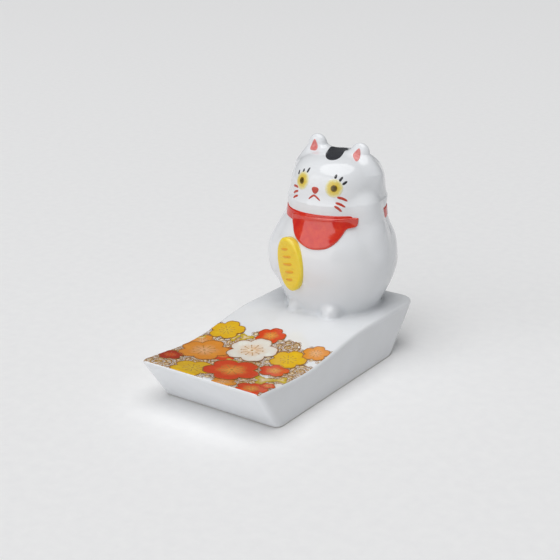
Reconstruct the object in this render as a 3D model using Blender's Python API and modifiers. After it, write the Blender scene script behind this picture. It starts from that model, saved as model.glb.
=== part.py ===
"""Beckoning cat figurine on a wave-topped plinth, in slip-cast, glazed and enamelled porcelain.

The plinth and the cat are hollow castings. The limbs, ears, tail, bib, collar and coin are
luted onto them, and the face, the patches and the flower field are fired-on enamel films.
+Z is up, the cat faces -Y, and the origin is under the middle of the plinth, on the table.
"""
import math

import bmesh
import bpy
from mathutils import Matrix, Vector

MM = 0.001
GAP = 0.3 * MM                 # clearance between pieces that touch
CLAY_WALL = 3.6 * MM           # wall of a hollow casting
VENT_RADIUS = 1.8 * MM         # vent holes that let air out of the hollows in the kiln
FILM = 0.3 * MM                # thickness of an enamel film

# Plinth: a block whose ends slope inwards towards the table
FRONT_FOOT_Y = -38.1 * MM
REAR_FOOT_Y = 36.7 * MM
FOOT_HALF_WIDTH = 23.1 * MM
SIDE_FLARE = 0.06              # outward run for each unit of height
FRONT_FLARE = 0.71
REAR_FLARE = 0.73
FRONT_CORNER = 2.3 * MM
REAR_CORNER = 5.5 * MM
RIM_ROUND = 1.1 * MM
BLANK_HEIGHT = 24.0 * MM       # height of the block before the wave is cut

# Wave on top: front lip, valley, rise, flat plateau
LIP_Y, LIP_Z = -49.5 * MM, 16.1 * MM
VALLEY_Y, VALLEY_Z = -24.5 * MM, 13.9 * MM
PLATEAU_Y, PLATEAU_Z = 12.5 * MM, 17.5 * MM
LIP_POWER = 1.5                # how fast the lip rises out of the valley

# Cat: a turned body that leans back a little over its foot circle
CAT_Y = 29.9 * MM
LEAN = 2.0 / 55.0
TURN_STEPS = 48
FLAT_BACK_START = 8.0 * MM     # the back is flatter than the front from this depth on
FLAT_BACK_END = 22.1 * MM
FLAT_BACK_LOSS = 3.4 * MM
BODY_OUTLINE = (               # height over the plateau and radius, crown to foot
    (54.6, 0.0), (53.9, 8.2), (51.5, 13.0), (47.5, 15.6), (42.5, 17.0), (37.5, 16.95),
    (33.5, 17.5), (29.5, 18.9), (24.5, 21.2), (18.5, 22.1), (12.5, 21.6), (6.5, 19.5),
    (2.5, 17.7), (0.3, 16.8),
)
HEAD_TURN = 4.5                # degrees that the face turns towards +X

COLLAR_LOW, COLLAR_HIGH, COLLAR_RELIEF = 32.2 * MM, 36.0 * MM, 0.9 * MM
BIB_TURN = 8.0
BIB_HALF_WIDTH, BIB_DROP, BIB_RELIEF = 10.2 * MM, 7.1 * MM, 0.9 * MM

COIN_TURN, COIN_TILT = -12.0, 12.0
COIN_HEIGHT, COIN_HALF_WIDTH, COIN_HALF_LENGTH = 18.4 * MM, 5.8 * MM, 9.5 * MM
COIN_FACE = 23.3 * MM          # from the cat's axis to the coin's front
COIN_SHIFT = -0.5 * MM
COIN_BLANK = 3.6 * MM

EAR_TIP_HEIGHT = 59.0 * MM      # over the plateau
EAR_SPREAD, EAR_BACK = 8.9 * MM, -0.5 * MM
EAR_LENGTH, EAR_FOOT, EAR_TIP = 9.6 * MM, 7.3 * MM, 2.5 * MM
EAR_FLATNESS, EAR_SPLAY = 0.58, 3.0
EAR_LINING_TOP, EAR_LINING_DROP, EAR_LINING_HALF_WIDTH = 1.3 * MM, 3.6 * MM, 1.7 * MM
HEAD_DROP = 0.55 * MM           # the left side of the head sits lower by twice this

# Limbs: turn in degrees, then height, reach from the axis and own radius in mm
BECKONING_ARM = ((80, 21.5, 17.5, 4.7), (80, 28.0, 16.3, 5.1), (78, 32.5, 14.9, 5.0),
                 (71, 37.2, 14.5, 5.2))
COIN_ARM = ((-61, 31.0, 13.6, 3.6), (-60, 25.5, 16.6, 4.2), (-57, 20.0, 19.0, 4.7),
            (-52, 14.8, 18.8, 4.4))
TAIL = ((172, 3.4, 17.0, 2.9), (180, 4.4, 18.0, 2.9), (190, 7.2, 19.0, 2.5))
FOOT_SPREAD, FOOT_SHIFT, FOOT_Y, FOOT_RISE = 7.0 * MM, 1.5 * MM, 14.8 * MM, 1.6 * MM
FOOT_HALF_SIZES = (3.1 * MM, 3.6 * MM, 2.7 * MM)

# Face, measured from straight in front of each feature
BODY_REACH = 26.0 * MM          # past the widest piece of the cat
EYE_TURN, EYE_HEIGHT, EYE_RADIUS, PUPIL_RADIUS = 22.5, 45.9 * MM, 2.75 * MM, 0.85 * MM
LASHES = ((-2.5, 3.6, 112.0), (4.5, 3.5, 82.0), (12.5, 2.3, 45.0))
LASH_LENGTH, LASH_WIDTH = 1.7 * MM, 0.5 * MM
WHISKERS = ((31.0, 3.9, -14.0), (29.5, 5.7, -20.0), (28.0, 7.5, -33.0))
WHISKER_LENGTH, WHISKER_WIDTH = 3.8 * MM, 0.65 * MM
NOSE_TURN, NOSE_HEIGHT = 3.8, 44.2 * MM
NOSE_HALF_WIDTH, NOSE_HALF_HEIGHT = 1.0 * MM, 0.75 * MM
MOUTH_HEIGHT, MOUTH_HALF_WIDTH, MOUTH_RISE, MOUTH_WIDTH = 42.6 * MM, 2.3 * MM, 0.9 * MM, 0.7 * MM

CROWN_SKY, CROWN_BACK, CROWN_SWING = 62.0 * MM, -2.5 * MM, 20.0
CROWN_HALF_LENGTH, CROWN_HALF_WIDTH = 4.6 * MM, 4.2 * MM
HIP_TURN, HIP_HEIGHT = 138.0, 13.5 * MM
HIP_HALF_WIDTH, HIP_HALF_HEIGHT, HIP_WAVE = 6.2 * MM, 6.0 * MM, 0.7 * MM
FLOWER_SCALLOP = 2.0 * MM
FLOWER_FRONT_Y, FLOWER_REAR_Y, FLOWER_HALF_WIDTH = -47.6 * MM, -4.5 * MM, 22.2 * MM

PORCELAIN = (0.86, 0.87, 0.87, 1.0)
RED = (0.66, 0.03, 0.025, 1.0)
GOLD = (0.86, 0.56, 0.05, 1.0)
YELLOW = (0.80, 0.62, 0.06, 1.0)
BLACK = (0.03, 0.03, 0.035, 1.0)
PINK = (0.72, 0.16, 0.15, 1.0)
ORANGE = (0.80, 0.33, 0.10, 1.0)


def clear_scene():
    for obj in list(bpy.data.objects):
        bpy.data.objects.remove(obj, do_unlink=True)


def new_collection(name):
    collection = bpy.data.collections.new(name)
    bpy.context.scene.collection.children.link(collection)
    return collection


clear_scene()
PIECES = new_collection("beckoning_cat")
CUTTERS = new_collection("cutters")


def enamel(name, color, roughness=0.16):
    material = bpy.data.materials.new(name)
    material.use_nodes = True
    shader = material.node_tree.nodes["Principled BSDF"]
    shader.inputs["Base Color"].default_value = color
    shader.inputs["Roughness"].default_value = roughness
    shader.inputs["Metallic"].default_value = 0.0
    material.diffuse_color = color
    return material


# ---------------------------------------------------------------- shapes and placing

def axis_y(height):
    """Where the leaning axis of the cat stands at a height over the plateau."""
    return CAT_Y + LEAN * height


def flat_back(depth):
    """How far behind the axis a point of the round body really stands."""
    beyond = max(0.0, depth - FLAT_BACK_START) / (FLAT_BACK_END - FLAT_BACK_START)
    return depth - FLAT_BACK_LOSS * beyond ** 2


def at_figure(turn, height, radius):
    """A point around the cat: turn in degrees from its front towards +X."""
    angle = math.radians(turn)
    return Vector((radius * math.sin(angle), axis_y(height) + flat_back(-radius * math.cos(angle)),
                   PLATEAU_Z + height))


def facing(turn, height, radius, tilt=0.0):
    """A frame around the cat whose Z points outwards, Y up and X to the side."""
    outwards = Matrix.Rotation(math.radians(turn), 4, "Z") @ Matrix.Rotation(math.pi / 2, 4, "X")
    return (Matrix.Translation(at_figure(turn, height, radius)) @ outwards
            @ Matrix.Rotation(math.radians(tilt), 4, "Z"))


def smooth_line(points, steps):
    """A Catmull-Rom line through driving points, steps pieces to each stretch."""
    knots = [Vector(p) for p in points]
    knots = [2 * knots[0] - knots[1]] + knots + [2 * knots[-1] - knots[-2]]
    line = []
    for a, b, c, d in zip(knots, knots[1:], knots[2:], knots[3:]):
        for step in range(steps):
            t = step / steps
            line.append(0.5 * ((2 * b) + (c - a) * t + (2 * a - 5 * b + 4 * c - d) * t ** 2
                               + (3 * b - a - 3 * c + d) * t ** 3))
    line.append(knots[-2])
    return line


def body_line(offset=0.0, steps=2):
    """The body's outline as (radius, height), crown to foot, moved out by offset."""
    points = smooth_line([(radius * MM, height * MM) for height, radius in BODY_OUTLINE], steps)
    moved = []
    for i, point in enumerate(points):
        before, after = points[max(i - 1, 0)], points[min(i + 1, len(points) - 1)]
        along = (after - before).normalized()
        outwards = Vector((0.0, 1.0)) if i == 0 else Vector((-along.y, along.x))
        moved.append(point + outwards * offset)
    return moved


def body_radius(height):
    """The body's radius at a height over the plateau."""
    line = body_line()
    for upper, lower in zip(line, line[1:]):
        if lower.y <= height <= upper.y:
            return upper.x + (lower.x - upper.x) * (upper.y - height) / (upper.y - lower.y)
    return line[-1].x


def oval(half_width, half_length, count=24):
    angles = [2 * math.pi * i / count for i in range(count)]
    return [(half_width * math.cos(a), half_length * math.sin(a)) for a in angles]


def stroke(length, width, ends=5):
    """A brush stroke along X: straight sides and round ends."""
    run, radius = (length - width) / 2, width / 2
    right = [(run + radius * math.cos(a), radius * math.sin(a))
             for a in (math.pi * (i / (ends - 1) - 0.5) for i in range(ends))]
    return right + [(-x, -y) for x, y in right]


# ---------------------------------------------------------------- making objects

def add_object(name, mesh, collection=PIECES):
    obj = bpy.data.objects.new(name, mesh)
    collection.objects.link(obj)
    return obj


def plain_mesh(obj, name):
    """The evaluated object as a welded mesh in world space; the object itself goes."""
    graph = bpy.context.evaluated_depsgraph_get()
    mesh = bpy.data.meshes.new_from_object(obj.evaluated_get(graph))
    mesh.transform(obj.matrix_world)
    mesh.name = name
    bpy.data.objects.remove(obj, do_unlink=True)
    bm = bmesh.new()
    bm.from_mesh(mesh)
    bmesh.ops.remove_doubles(bm, verts=bm.verts, dist=0.01 * MM)
    bmesh.ops.recalc_face_normals(bm, faces=bm.faces)
    bm.to_mesh(mesh)
    bm.free()
    return mesh


def prism(name, outlines, depth, frame):
    """Flat outlines in the frame's XY plane, thickened by depth towards -Z."""
    curve = bpy.data.curves.new(name, "CURVE")
    curve.dimensions = "2D"
    curve.fill_mode = "BOTH"
    curve.extrude = depth / 2
    for outline in outlines:
        spline = curve.splines.new("POLY")
        spline.points.add(len(outline) - 1)
        spline.use_cyclic_u = True
        for point, (x, y) in zip(spline.points, outline):
            point.co = (x, y, 0.0, 1.0)
    obj = add_object(name + "_outline", curve)
    obj.matrix_world = frame @ Matrix.Translation((0.0, 0.0, -depth / 2))
    bpy.context.view_layer.update()
    return plain_mesh(obj, name)


def turned(name, profile, steps=TURN_STEPS):
    """A profile of (radius, height) turned about the cat's axis, leaned and flattened behind."""
    mesh = bpy.data.meshes.new(name)
    bm = bmesh.new()
    verts = [bm.verts.new((radius, 0.0, height)) for radius, height in profile]
    for a, b in zip(verts, verts[1:]):
        bm.edges.new((a, b))
    if profile[0][0] > 0.0:
        bm.edges.new((verts[-1], verts[0]))
    bm.to_mesh(mesh)
    bm.free()
    obj = add_object(name + "_profile", mesh)
    screw = obj.modifiers.new("turn", "SCREW")
    screw.steps = screw.render_steps = steps
    screw.use_merge_vertices = True
    screw.merge_threshold = 0.00001
    bpy.context.view_layer.update()
    solid = plain_mesh(obj, name)
    for vert in solid.vertices:
        vert.co.y = axis_y(vert.co.z) + flat_back(vert.co.y)
        vert.co.z += PLATEAU_Z
    return solid


def as_cutter(name, mesh):
    cutter = add_object(name, mesh, CUTTERS)
    cutter.hide_render = True
    cutter.display_type = "WIRE"
    return cutter


def as_piece(name, mesh, material, cuts=(), keeps=(), soft_angle=35.0):
    """A finished piece: cut by some solids, kept only inside others."""
    piece = add_object(name, mesh)
    for operation, cutters in (("DIFFERENCE", cuts), ("INTERSECT", keeps)):
        for cutter in cutters:
            boolean = piece.modifiers.new(cutter.name, "BOOLEAN")
            boolean.operation = operation
            boolean.solver = "EXACT"
            boolean.object = cutter
    mesh.materials.clear()
    mesh.materials.append(material)
    mesh.shade_smooth()
    mesh.set_sharp_from_angle(angle=math.radians(soft_angle))
    return piece


# ---------------------------------------------------------------- plinth

def wave_height(y):
    """Height of the plinth's top along its length."""
    if y <= VALLEY_Y:
        return VALLEY_Z + (LIP_Z - VALLEY_Z) * ((VALLEY_Y - y) / (VALLEY_Y - LIP_Y)) ** LIP_POWER
    if y >= PLATEAU_Y:
        return PLATEAU_Z
    rise = (y - VALLEY_Y) / (PLATEAU_Y - VALLEY_Y)
    return VALLEY_Z + (PLATEAU_Z - VALLEY_Z) * (1 - math.cos(math.pi * rise)) / 2


def wave_line(start, end, offset, count=22):
    """The wave as (y, z) from start to end, raised by offset."""
    stops = [start + (end - start) * i / count for i in range(count + 1)]
    return [(y, wave_height(y) + offset) for y in stops]


def wave_prism(name, outline, half_width):
    """A (y, z) outline drawn across the plinth from one side to the other."""
    across = Matrix(((0, 0, 1, half_width), (1, 0, 0, 0), (0, 1, 0, 0), (0, 0, 0, 1)))
    return prism(name, [outline], 2 * half_width, across)


def flared_block(name, low, high, inset):
    """The plinth's block between two heights, moved in by inset on every side."""
    bm = bmesh.new()
    bmesh.ops.create_cube(bm, size=2.0)
    for vert in bm.verts:
        z = high if vert.co.z > 0 else low
        front = FRONT_FOOT_Y - FRONT_FLARE * z + inset * math.hypot(1, FRONT_FLARE)
        rear = REAR_FOOT_Y + REAR_FLARE * z - inset * math.hypot(1, REAR_FLARE)
        side = FOOT_HALF_WIDTH + SIDE_FLARE * z - inset
        vert.co = (side * vert.co.x, front if vert.co.y < 0 else rear, z)
    for sign, corner in ((-1, FRONT_CORNER), (1, REAR_CORNER)):
        edges = [e for e in bm.edges
                 if all(v.co.y * sign > 0 for v in e.verts)
                 and abs(e.verts[0].co.z - e.verts[1].co.z) > 1 * MM]
        bmesh.ops.bevel(bm, geom=edges, offset=max(corner - inset, 1 * MM), segments=5,
                        profile=0.5, affect="EDGES")
    mesh = bpy.data.meshes.new(name)
    bm.to_mesh(mesh)
    bm.free()
    return mesh


def vent(name, y, low, high):
    bm = bmesh.new()
    bmesh.ops.create_cone(bm, cap_ends=True, segments=16, radius1=VENT_RADIUS,
                          radius2=VENT_RADIUS, depth=high - low)
    bmesh.ops.translate(bm, verts=bm.verts, vec=(0.0, y, (low + high) / 2))
    mesh = bpy.data.meshes.new(name)
    bm.to_mesh(mesh)
    bm.free()
    return as_cutter(name, mesh)


def make_plinth(glaze):
    beyond = 60 * MM
    line = wave_line(-beyond, beyond, 0.0, 48)
    above = wave_prism("wave_cut", line + [(beyond, 40 * MM), (-beyond, 40 * MM)], 40 * MM)
    inner_line = wave_line(-beyond, beyond, -CLAY_WALL)
    roof = wave_prism("roof_cut", inner_line + [(beyond, 40 * MM), (-beyond, 40 * MM)], 40 * MM)
    hollow = as_cutter("plinth_hollow",
                       flared_block("plinth_hollow", CLAY_WALL, BLANK_HEIGHT, CLAY_WALL))
    under_roof = hollow.modifiers.new("under_roof", "BOOLEAN")
    under_roof.operation = "DIFFERENCE"
    under_roof.object = as_cutter("roof_cut", roof)

    plinth = as_piece("wave_plinth", flared_block("wave_plinth", 0.0, BLANK_HEIGHT, 0.0), glaze,
                      cuts=[as_cutter("wave_cut", above)])
    rim = plinth.modifiers.new("rim", "BEVEL")
    rim.width = RIM_ROUND
    rim.segments = 2
    rim.limit_method = "ANGLE"
    rim.angle_limit = math.radians(40)
    openings = [hollow,
                vent("floor_vent", 10 * MM, -1 * MM, CLAY_WALL + 1 * MM),
                vent("roof_vent", CAT_Y, PLATEAU_Z - CLAY_WALL - 1 * MM, PLATEAU_Z + 1 * MM)]
    for cutter in openings:
        boolean = plinth.modifiers.new(cutter.name, "BOOLEAN")
        boolean.operation = "DIFFERENCE"
        boolean.object = cutter
    return plinth


# ---------------------------------------------------------------- cat castings and sprigs

def make_cat_body(glaze):
    outer = [tuple(p) for p in body_line(steps=1)]
    inner = [tuple(p) for p in reversed(body_line(offset=-CLAY_WALL, steps=1))
             if p.y > GAP + CLAY_WALL]
    floor = GAP + CLAY_WALL
    inner[0] = (inner[0][0], floor)
    profile = outer + [(VENT_RADIUS, GAP), (VENT_RADIUS, floor)] + inner
    return as_piece("cat_body", turned("cat_body", profile), glaze)


def clearance_body():
    """The body with the clearance around it, for fitting everything that sits on it."""
    line = [tuple(p) for p in body_line(offset=GAP, steps=1)]
    line[-1] = (line[-1][0], -2 * MM)
    return as_cutter("body_clearance", turned("body_clearance", line + [(0.0, -2 * MM)]))


def band(name, low, high, inner, outer):
    """A ring that follows the body between two heights and two distances from it."""
    def side(offset):
        line = [p for p in body_line(offset=offset) if low < p.y < high]
        return ([(body_radius(high) + offset, high)] + [tuple(p) for p in line]
                + [(body_radius(low) + offset, low)])
    return turned(name, side(outer) + list(reversed(side(inner))))


def limb(name, path):
    """A round limb along a path of (turn, height, radius from axis, own radius)."""
    stops = smooth_line([(*at_figure(turn, height * MM, reach * MM), thick * MM)
                         for turn, height, reach, thick in path], 3)
    centres = [Vector(s[:3]) for s in stops]
    radii = [s[3] for s in stops]
    start = (centres[0] - centres[1]).normalized()
    end = (centres[-1] - centres[-2]).normalized()
    caps = [math.radians(a) for a in (30, 58, 80)]
    head = [(centres[0] + start * radii[0] * math.sin(a), radii[0] * math.cos(a)) for a in caps]
    tail = [(centres[-1] + end * radii[-1] * math.sin(a), radii[-1] * math.cos(a)) for a in caps]
    rings = head[::-1] + list(zip(centres, radii)) + tail

    curve = bpy.data.curves.new(name, "CURVE")
    curve.dimensions = "3D"
    curve.bevel_depth = 1 * MM
    curve.bevel_resolution = 2
    curve.use_fill_caps = True
    spline = curve.splines.new("POLY")
    spline.points.add(len(rings) - 1)
    for point, (centre, radius) in zip(spline.points, rings):
        point.co = (*centre, 1.0)
        point.radius = radius / MM
    obj = add_object(name + "_path", curve)
    bpy.context.view_layer.update()
    return plain_mesh(obj, name)


def ball(name, centre, half_sizes, segments=16):
    bm = bmesh.new()
    bmesh.ops.create_uvsphere(bm, u_segments=segments, v_segments=segments // 2, radius=1.0)
    bmesh.ops.scale(bm, verts=bm.verts, vec=half_sizes)
    bmesh.ops.translate(bm, verts=bm.verts, vec=centre)
    mesh = bpy.data.meshes.new(name)
    bm.to_mesh(mesh)
    bm.free()
    return mesh


def make_ear(name, side, glaze, clearance):
    """A flattened cone with a narrow rounded tip, luted on the crown."""
    bm = bmesh.new()
    bmesh.ops.create_cone(bm, cap_ends=True, segments=16, radius1=EAR_FOOT, radius2=EAR_TIP,
                          depth=EAR_LENGTH)
    tip_edges = [e for e in bm.edges if all(v.co.z > 0 for v in e.verts)]
    bmesh.ops.bevel(bm, geom=tip_edges, offset=0.5 * EAR_TIP, segments=2, profile=0.5,
                    affect="EDGES")
    bmesh.ops.scale(bm, verts=bm.verts, vec=(1.0, EAR_FLATNESS, 1.0))
    mesh = bpy.data.meshes.new(name)
    bm.to_mesh(mesh)
    bm.free()
    mesh.transform(ear_frame(side) @ Matrix.Translation((0.0, 0.0, -EAR_LENGTH / 2)))
    return as_piece(name, mesh, glaze, cuts=[clearance])


def ear_frame(side):
    """The tip of an ear: Z runs up the ear, -Y is its front."""
    height = EAR_TIP_HEIGHT - side * HEAD_DROP
    return (Matrix.Translation((side * EAR_SPREAD, axis_y(height) + EAR_BACK,
                                PLATEAU_Z + height))
            @ Matrix.Rotation(math.radians(HEAD_TURN), 4, "Z")
            @ Matrix.Rotation(math.radians(side * EAR_SPLAY), 4, "Y"))


def make_ear_lining(name, side, enamel_color, clearance):
    """The coloured triangle on the front of an ear."""
    half, drop = EAR_LINING_HALF_WIDTH, EAR_LINING_DROP
    outline = [(0.0, 0.0), (-0.35 * half, -0.12 * drop), (-half, -drop), (half, -drop),
               (0.35 * half, -0.12 * drop)]
    slope = math.atan((EAR_FOOT - EAR_TIP) * EAR_FLATNESS / EAR_LENGTH)
    front = (Matrix.Translation((0.0, -EAR_TIP * EAR_FLATNESS, 0.0))
             @ Matrix.Rotation(math.pi / 2 - slope, 4, "X")
             @ Matrix.Translation((0.0, -EAR_LINING_TOP, GAP + FILM)))
    mesh = prism(name, [outline], FILM, ear_frame(side) @ front)
    return as_piece(name, mesh, enamel_color, cuts=[clearance])


def bib_blank(name, grow):
    """The bib's half-oval outline, grown all round, reaching inwards from in front of it."""
    swing = [math.pi * i / 14 for i in range(15)]
    outline = [((BIB_HALF_WIDTH + grow) * math.cos(a), -(BIB_DROP + grow) * math.sin(a))
               for a in swing]
    return prism(name, [outline], BODY_REACH, facing(BIB_TURN, COLLAR_LOW - GAP, BODY_REACH))


def bib_layer(name, grow):
    """A cutter that follows the body where the bib lies."""
    top = COLLAR_LOW - GAP
    return as_cutter(name, band(name, top - BIB_DROP - 2 * MM, top, GAP - grow, BIB_RELIEF + grow))


def make_bib(cloth_red):
    """A half-oval bib hanging below the collar, in low relief."""
    return as_piece("bib", bib_blank("bib", 0.0), cloth_red, keeps=[bib_layer("bib_relief", 0.0)])


def bib_clearance():
    """The bib with the clearance around it, for the coin that overlaps its edge."""
    room = as_cutter("bib_clearance", bib_blank("bib_clearance", GAP))
    inside = room.modifiers.new("inside", "BOOLEAN")
    inside.operation = "INTERSECT"
    inside.object = bib_layer("bib_clearance_layer", GAP)
    return room


def make_coin(metal, clearance):
    """An oval coin held upright against the belly, its back shaped to the belly."""
    frame = (facing(COIN_TURN, COIN_HEIGHT, COIN_FACE, COIN_TILT)
             @ Matrix.Translation((COIN_SHIFT, 0.0, 0.0)))
    mesh = prism("koban_coin", [oval(COIN_HALF_WIDTH, COIN_HALF_LENGTH)], COIN_BLANK, frame)
    return as_piece("koban_coin", mesh, metal, cuts=[clearance, bib_clearance()])


def make_castings(glaze):
    make_plinth(glaze("plinth_glaze"))
    make_cat_body(glaze("body_glaze"))


def make_sprigs(glaze, clearance, plateau, collar_clearance):
    raised = limb("beckoning_arm", BECKONING_ARM)
    as_piece("beckoning_arm", raised, glaze("beckoning_arm_glaze"),
             cuts=[clearance, collar_clearance])
    lowered = limb("coin_arm", COIN_ARM)
    as_piece("coin_arm", lowered, glaze("coin_arm_glaze"), cuts=[clearance, collar_clearance])
    as_piece("tail", limb("tail", TAIL), glaze("tail_glaze"), cuts=[clearance, plateau])
    for name, side in (("right_foot", -1), ("left_foot", 1)):
        centre = Vector((side * FOOT_SPREAD + FOOT_SHIFT, FOOT_Y, PLATEAU_Z + FOOT_RISE))
        as_piece(name, ball(name, centre, FOOT_HALF_SIZES), glaze(name + "_glaze"),
                 cuts=[clearance, plateau])
    for name, side in (("right_ear", -1), ("left_ear", 1)):
        make_ear(name, side, glaze(name + "_glaze"), clearance)
        make_ear_lining(name + "_lining", side, enamel(name + "_pink", PINK), clearance)


# ---------------------------------------------------------------- enamel films

def painted(name, outlines, turn, height, tilt, material, skin):
    """A film on the body: outlines seen from straight in front of their place."""
    mesh = prism(name, outlines, BODY_REACH, facing(turn, height, BODY_REACH, tilt))
    return as_piece(name, mesh, material, keeps=[skin])


def make_face(skin):
    for side, word in ((-1, "right"), (1, "left")):
        turn = HEAD_TURN + side * EYE_TURN
        height = EYE_HEIGHT - side * HEAD_DROP
        painted(word + "_iris", [oval(EYE_RADIUS, EYE_RADIUS, 20),
                                 oval(PUPIL_RADIUS + GAP, PUPIL_RADIUS + GAP, 10)],
                turn, height, 0.0, enamel(word + "_iris_yellow", YELLOW), skin)
        painted(word + "_pupil", [oval(PUPIL_RADIUS, PUPIL_RADIUS, 10)],
                turn, height, 0.0, enamel(word + "_pupil_black", BLACK), skin)
        for i, (aside, up, tilt) in enumerate(LASHES, 1):
            painted(f"{word}_lash_{i}", [stroke(LASH_LENGTH, LASH_WIDTH)],
                    turn + side * aside, height + up * MM, side * tilt,
                    enamel(f"{word}_lash_{i}_black", BLACK), skin)
        for i, (aside, down, tilt) in enumerate(WHISKERS, 1):
            painted(f"{word}_whisker_{i}", [stroke(WHISKER_LENGTH, WHISKER_WIDTH)],
                    HEAD_TURN + side * aside, height - down * MM, side * tilt,
                    enamel(f"{word}_whisker_{i}_red", RED), skin)
    painted("nose", [oval(NOSE_HALF_WIDTH, NOSE_HALF_HEIGHT, 12)], NOSE_TURN, NOSE_HEIGHT, 0.0,
            enamel("nose_red", RED), skin)
    half, rise, thick = MOUTH_HALF_WIDTH, MOUTH_RISE, MOUTH_WIDTH
    chevron = [(-half, -rise - thick), (-half * 0.75, -rise - thick), (0.0, -thick),
               (half * 0.75, -rise - thick), (half, -rise - thick), (half * 0.85, -rise),
               (half * 0.2, 0.0), (-half * 0.2, 0.0), (-half * 0.85, -rise)]
    painted("mouth", [chevron], NOSE_TURN, MOUTH_HEIGHT, 0.0, enamel("mouth_red", RED), skin)


def make_patches(skin):
    """The black leaf on the crown and the black patch on the hip."""
    crown = [(CROWN_HALF_LENGTH * math.cos(a), CROWN_HALF_WIDTH * math.sin(a) ** 3)
             for a in (2 * math.pi * i / 20 for i in range(20))]
    above = (Matrix.Translation((0.0, axis_y(CROWN_SKY) + CROWN_BACK, PLATEAU_Z + CROWN_SKY))
             @ Matrix.Rotation(math.radians(CROWN_SWING), 4, "Z"))
    as_piece("crown_patch", prism("crown_patch", [crown], 12 * MM, above),
             enamel("crown_black", BLACK), keeps=[skin])
    hip = [((HIP_HALF_WIDTH + HIP_WAVE * math.cos(3 * a)) * math.cos(a),
            (HIP_HALF_HEIGHT + HIP_WAVE * math.cos(3 * a)) * math.sin(a))
           for a in (2 * math.pi * i / 24 for i in range(24))]
    painted("hip_patch", [hip], HIP_TURN, HIP_HEIGHT, 0.0, enamel("hip_black", BLACK), skin)


def make_flower_film():
    """The flower field printed over the low half of the plinth's top."""
    line = wave_line(FLOWER_FRONT_Y - 6 * MM, FLOWER_REAR_Y + 6 * MM, 0.0)
    sheet = ([(y, z + GAP) for y, z in line] + [(y, z + GAP + FILM) for y, z in reversed(line)])
    film = as_cutter("flower_sheet", wave_prism("flower_sheet", sheet, 40 * MM))
    half, step = FLOWER_HALF_WIDTH, 2 * FLOWER_HALF_WIDTH / 5
    scallops = [(half - step * (i + 0.5 - 0.5 * math.cos(a)),
                 FLOWER_REAR_Y + FLOWER_SCALLOP * math.sin(a))
                for i in range(5) for a in (math.pi * j / 6 for j in range(6))]
    outline = [(-half, FLOWER_FRONT_Y), (half, FLOWER_FRONT_Y)] + scallops + [(-half, FLOWER_REAR_Y)]
    mesh = prism("flower_field", [outline], 30 * MM, Matrix.Translation((0.0, 0.0, 30 * MM)))
    as_piece("flower_field", mesh, enamel("flower_field_orange", ORANGE), keeps=[film])


def main():
    def glaze(name):
        return enamel(name, PORCELAIN, 0.10)

    make_castings(glaze)
    clearance = clearance_body()
    slab = wave_prism("plateau_clearance", [(0.0, 0.0), (60 * MM, 0.0),
                                            (60 * MM, PLATEAU_Z + GAP), (0.0, PLATEAU_Z + GAP)],
                      40 * MM)
    plateau = as_cutter("plateau_clearance", slab)
    around_collar = band("collar_clearance", COLLAR_LOW - GAP, COLLAR_HIGH + GAP, -GAP,
                         COLLAR_RELIEF + GAP)
    collar_clearance = as_cutter("collar_clearance", around_collar)
    make_sprigs(glaze, clearance, plateau, collar_clearance)

    as_piece("collar", band("collar", COLLAR_LOW, COLLAR_HIGH, GAP, COLLAR_RELIEF),
             enamel("collar_red", RED))
    make_bib(enamel("bib_red", RED))
    make_coin(enamel("coin_gold", GOLD), clearance)

    skin_line = ([tuple(p) for p in body_line(offset=GAP + FILM)]
                 + [tuple(p) for p in reversed(body_line(offset=GAP))])
    skin = as_cutter("skin", turned("skin", skin_line))
    make_face(skin)
    make_patches(skin)
    make_flower_film()


main()
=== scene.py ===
"""Beckoning cat figurine: the glazed and enamelled finish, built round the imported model.

The clay is sculpted as distance functions and skinned with quads, so that limbs, ears and feet
run into the body the way slip-luted, glazed porcelain does. Enamels are thin domed layers laid
on that surface, and Geometry Nodes make the blossoms printed over the low half of the plinth.
"""
import math

import bmesh
import bpy
import numpy as np
from mathutils import Matrix, Vector


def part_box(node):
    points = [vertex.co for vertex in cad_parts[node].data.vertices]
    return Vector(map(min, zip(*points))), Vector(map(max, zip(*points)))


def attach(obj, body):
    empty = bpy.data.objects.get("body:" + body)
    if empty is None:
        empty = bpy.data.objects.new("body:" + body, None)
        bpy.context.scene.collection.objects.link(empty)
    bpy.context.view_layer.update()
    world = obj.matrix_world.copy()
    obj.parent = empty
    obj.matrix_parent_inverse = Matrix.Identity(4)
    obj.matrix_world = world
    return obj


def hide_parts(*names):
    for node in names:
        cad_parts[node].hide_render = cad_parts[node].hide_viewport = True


bl_info = {
    "name": "Beckoning Cat Figurine",
    "version": (1, 0, 0),
    "blender": (4, 5, 0),
    "location": "View3D > Sidebar > Figurine",
    "description": "Glazed porcelain beckoning cat on a wave-topped plinth",
    "category": "Add Mesh",
}

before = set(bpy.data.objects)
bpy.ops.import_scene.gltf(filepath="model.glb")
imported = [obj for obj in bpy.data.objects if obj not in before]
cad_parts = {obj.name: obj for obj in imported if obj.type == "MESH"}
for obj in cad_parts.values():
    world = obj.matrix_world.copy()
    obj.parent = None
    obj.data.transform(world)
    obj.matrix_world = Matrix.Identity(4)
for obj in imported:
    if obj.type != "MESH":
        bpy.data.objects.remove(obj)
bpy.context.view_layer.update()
MM = 0.001
BODY = "root"

BODY_LOW, BODY_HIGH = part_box("cat_body")
PLINTH_LOW, PLINTH_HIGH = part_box("wave_plinth")
CLEARANCE = 0.3 * MM                       # gap between neighbouring CAD solids
PLATEAU_Z = BODY_LOW.z - CLEARANCE
LEAN = 2.0 / 55.0
BELLY_RADIUS = BODY_HIGH.x
BELLY_HEIGHT = 18.3 * MM
CAT_Y = BODY_LOW.y + BELLY_RADIUS - LEAN * BELLY_HEIGHT


# ---------------------------------------------------------------- sizes and colours

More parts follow.
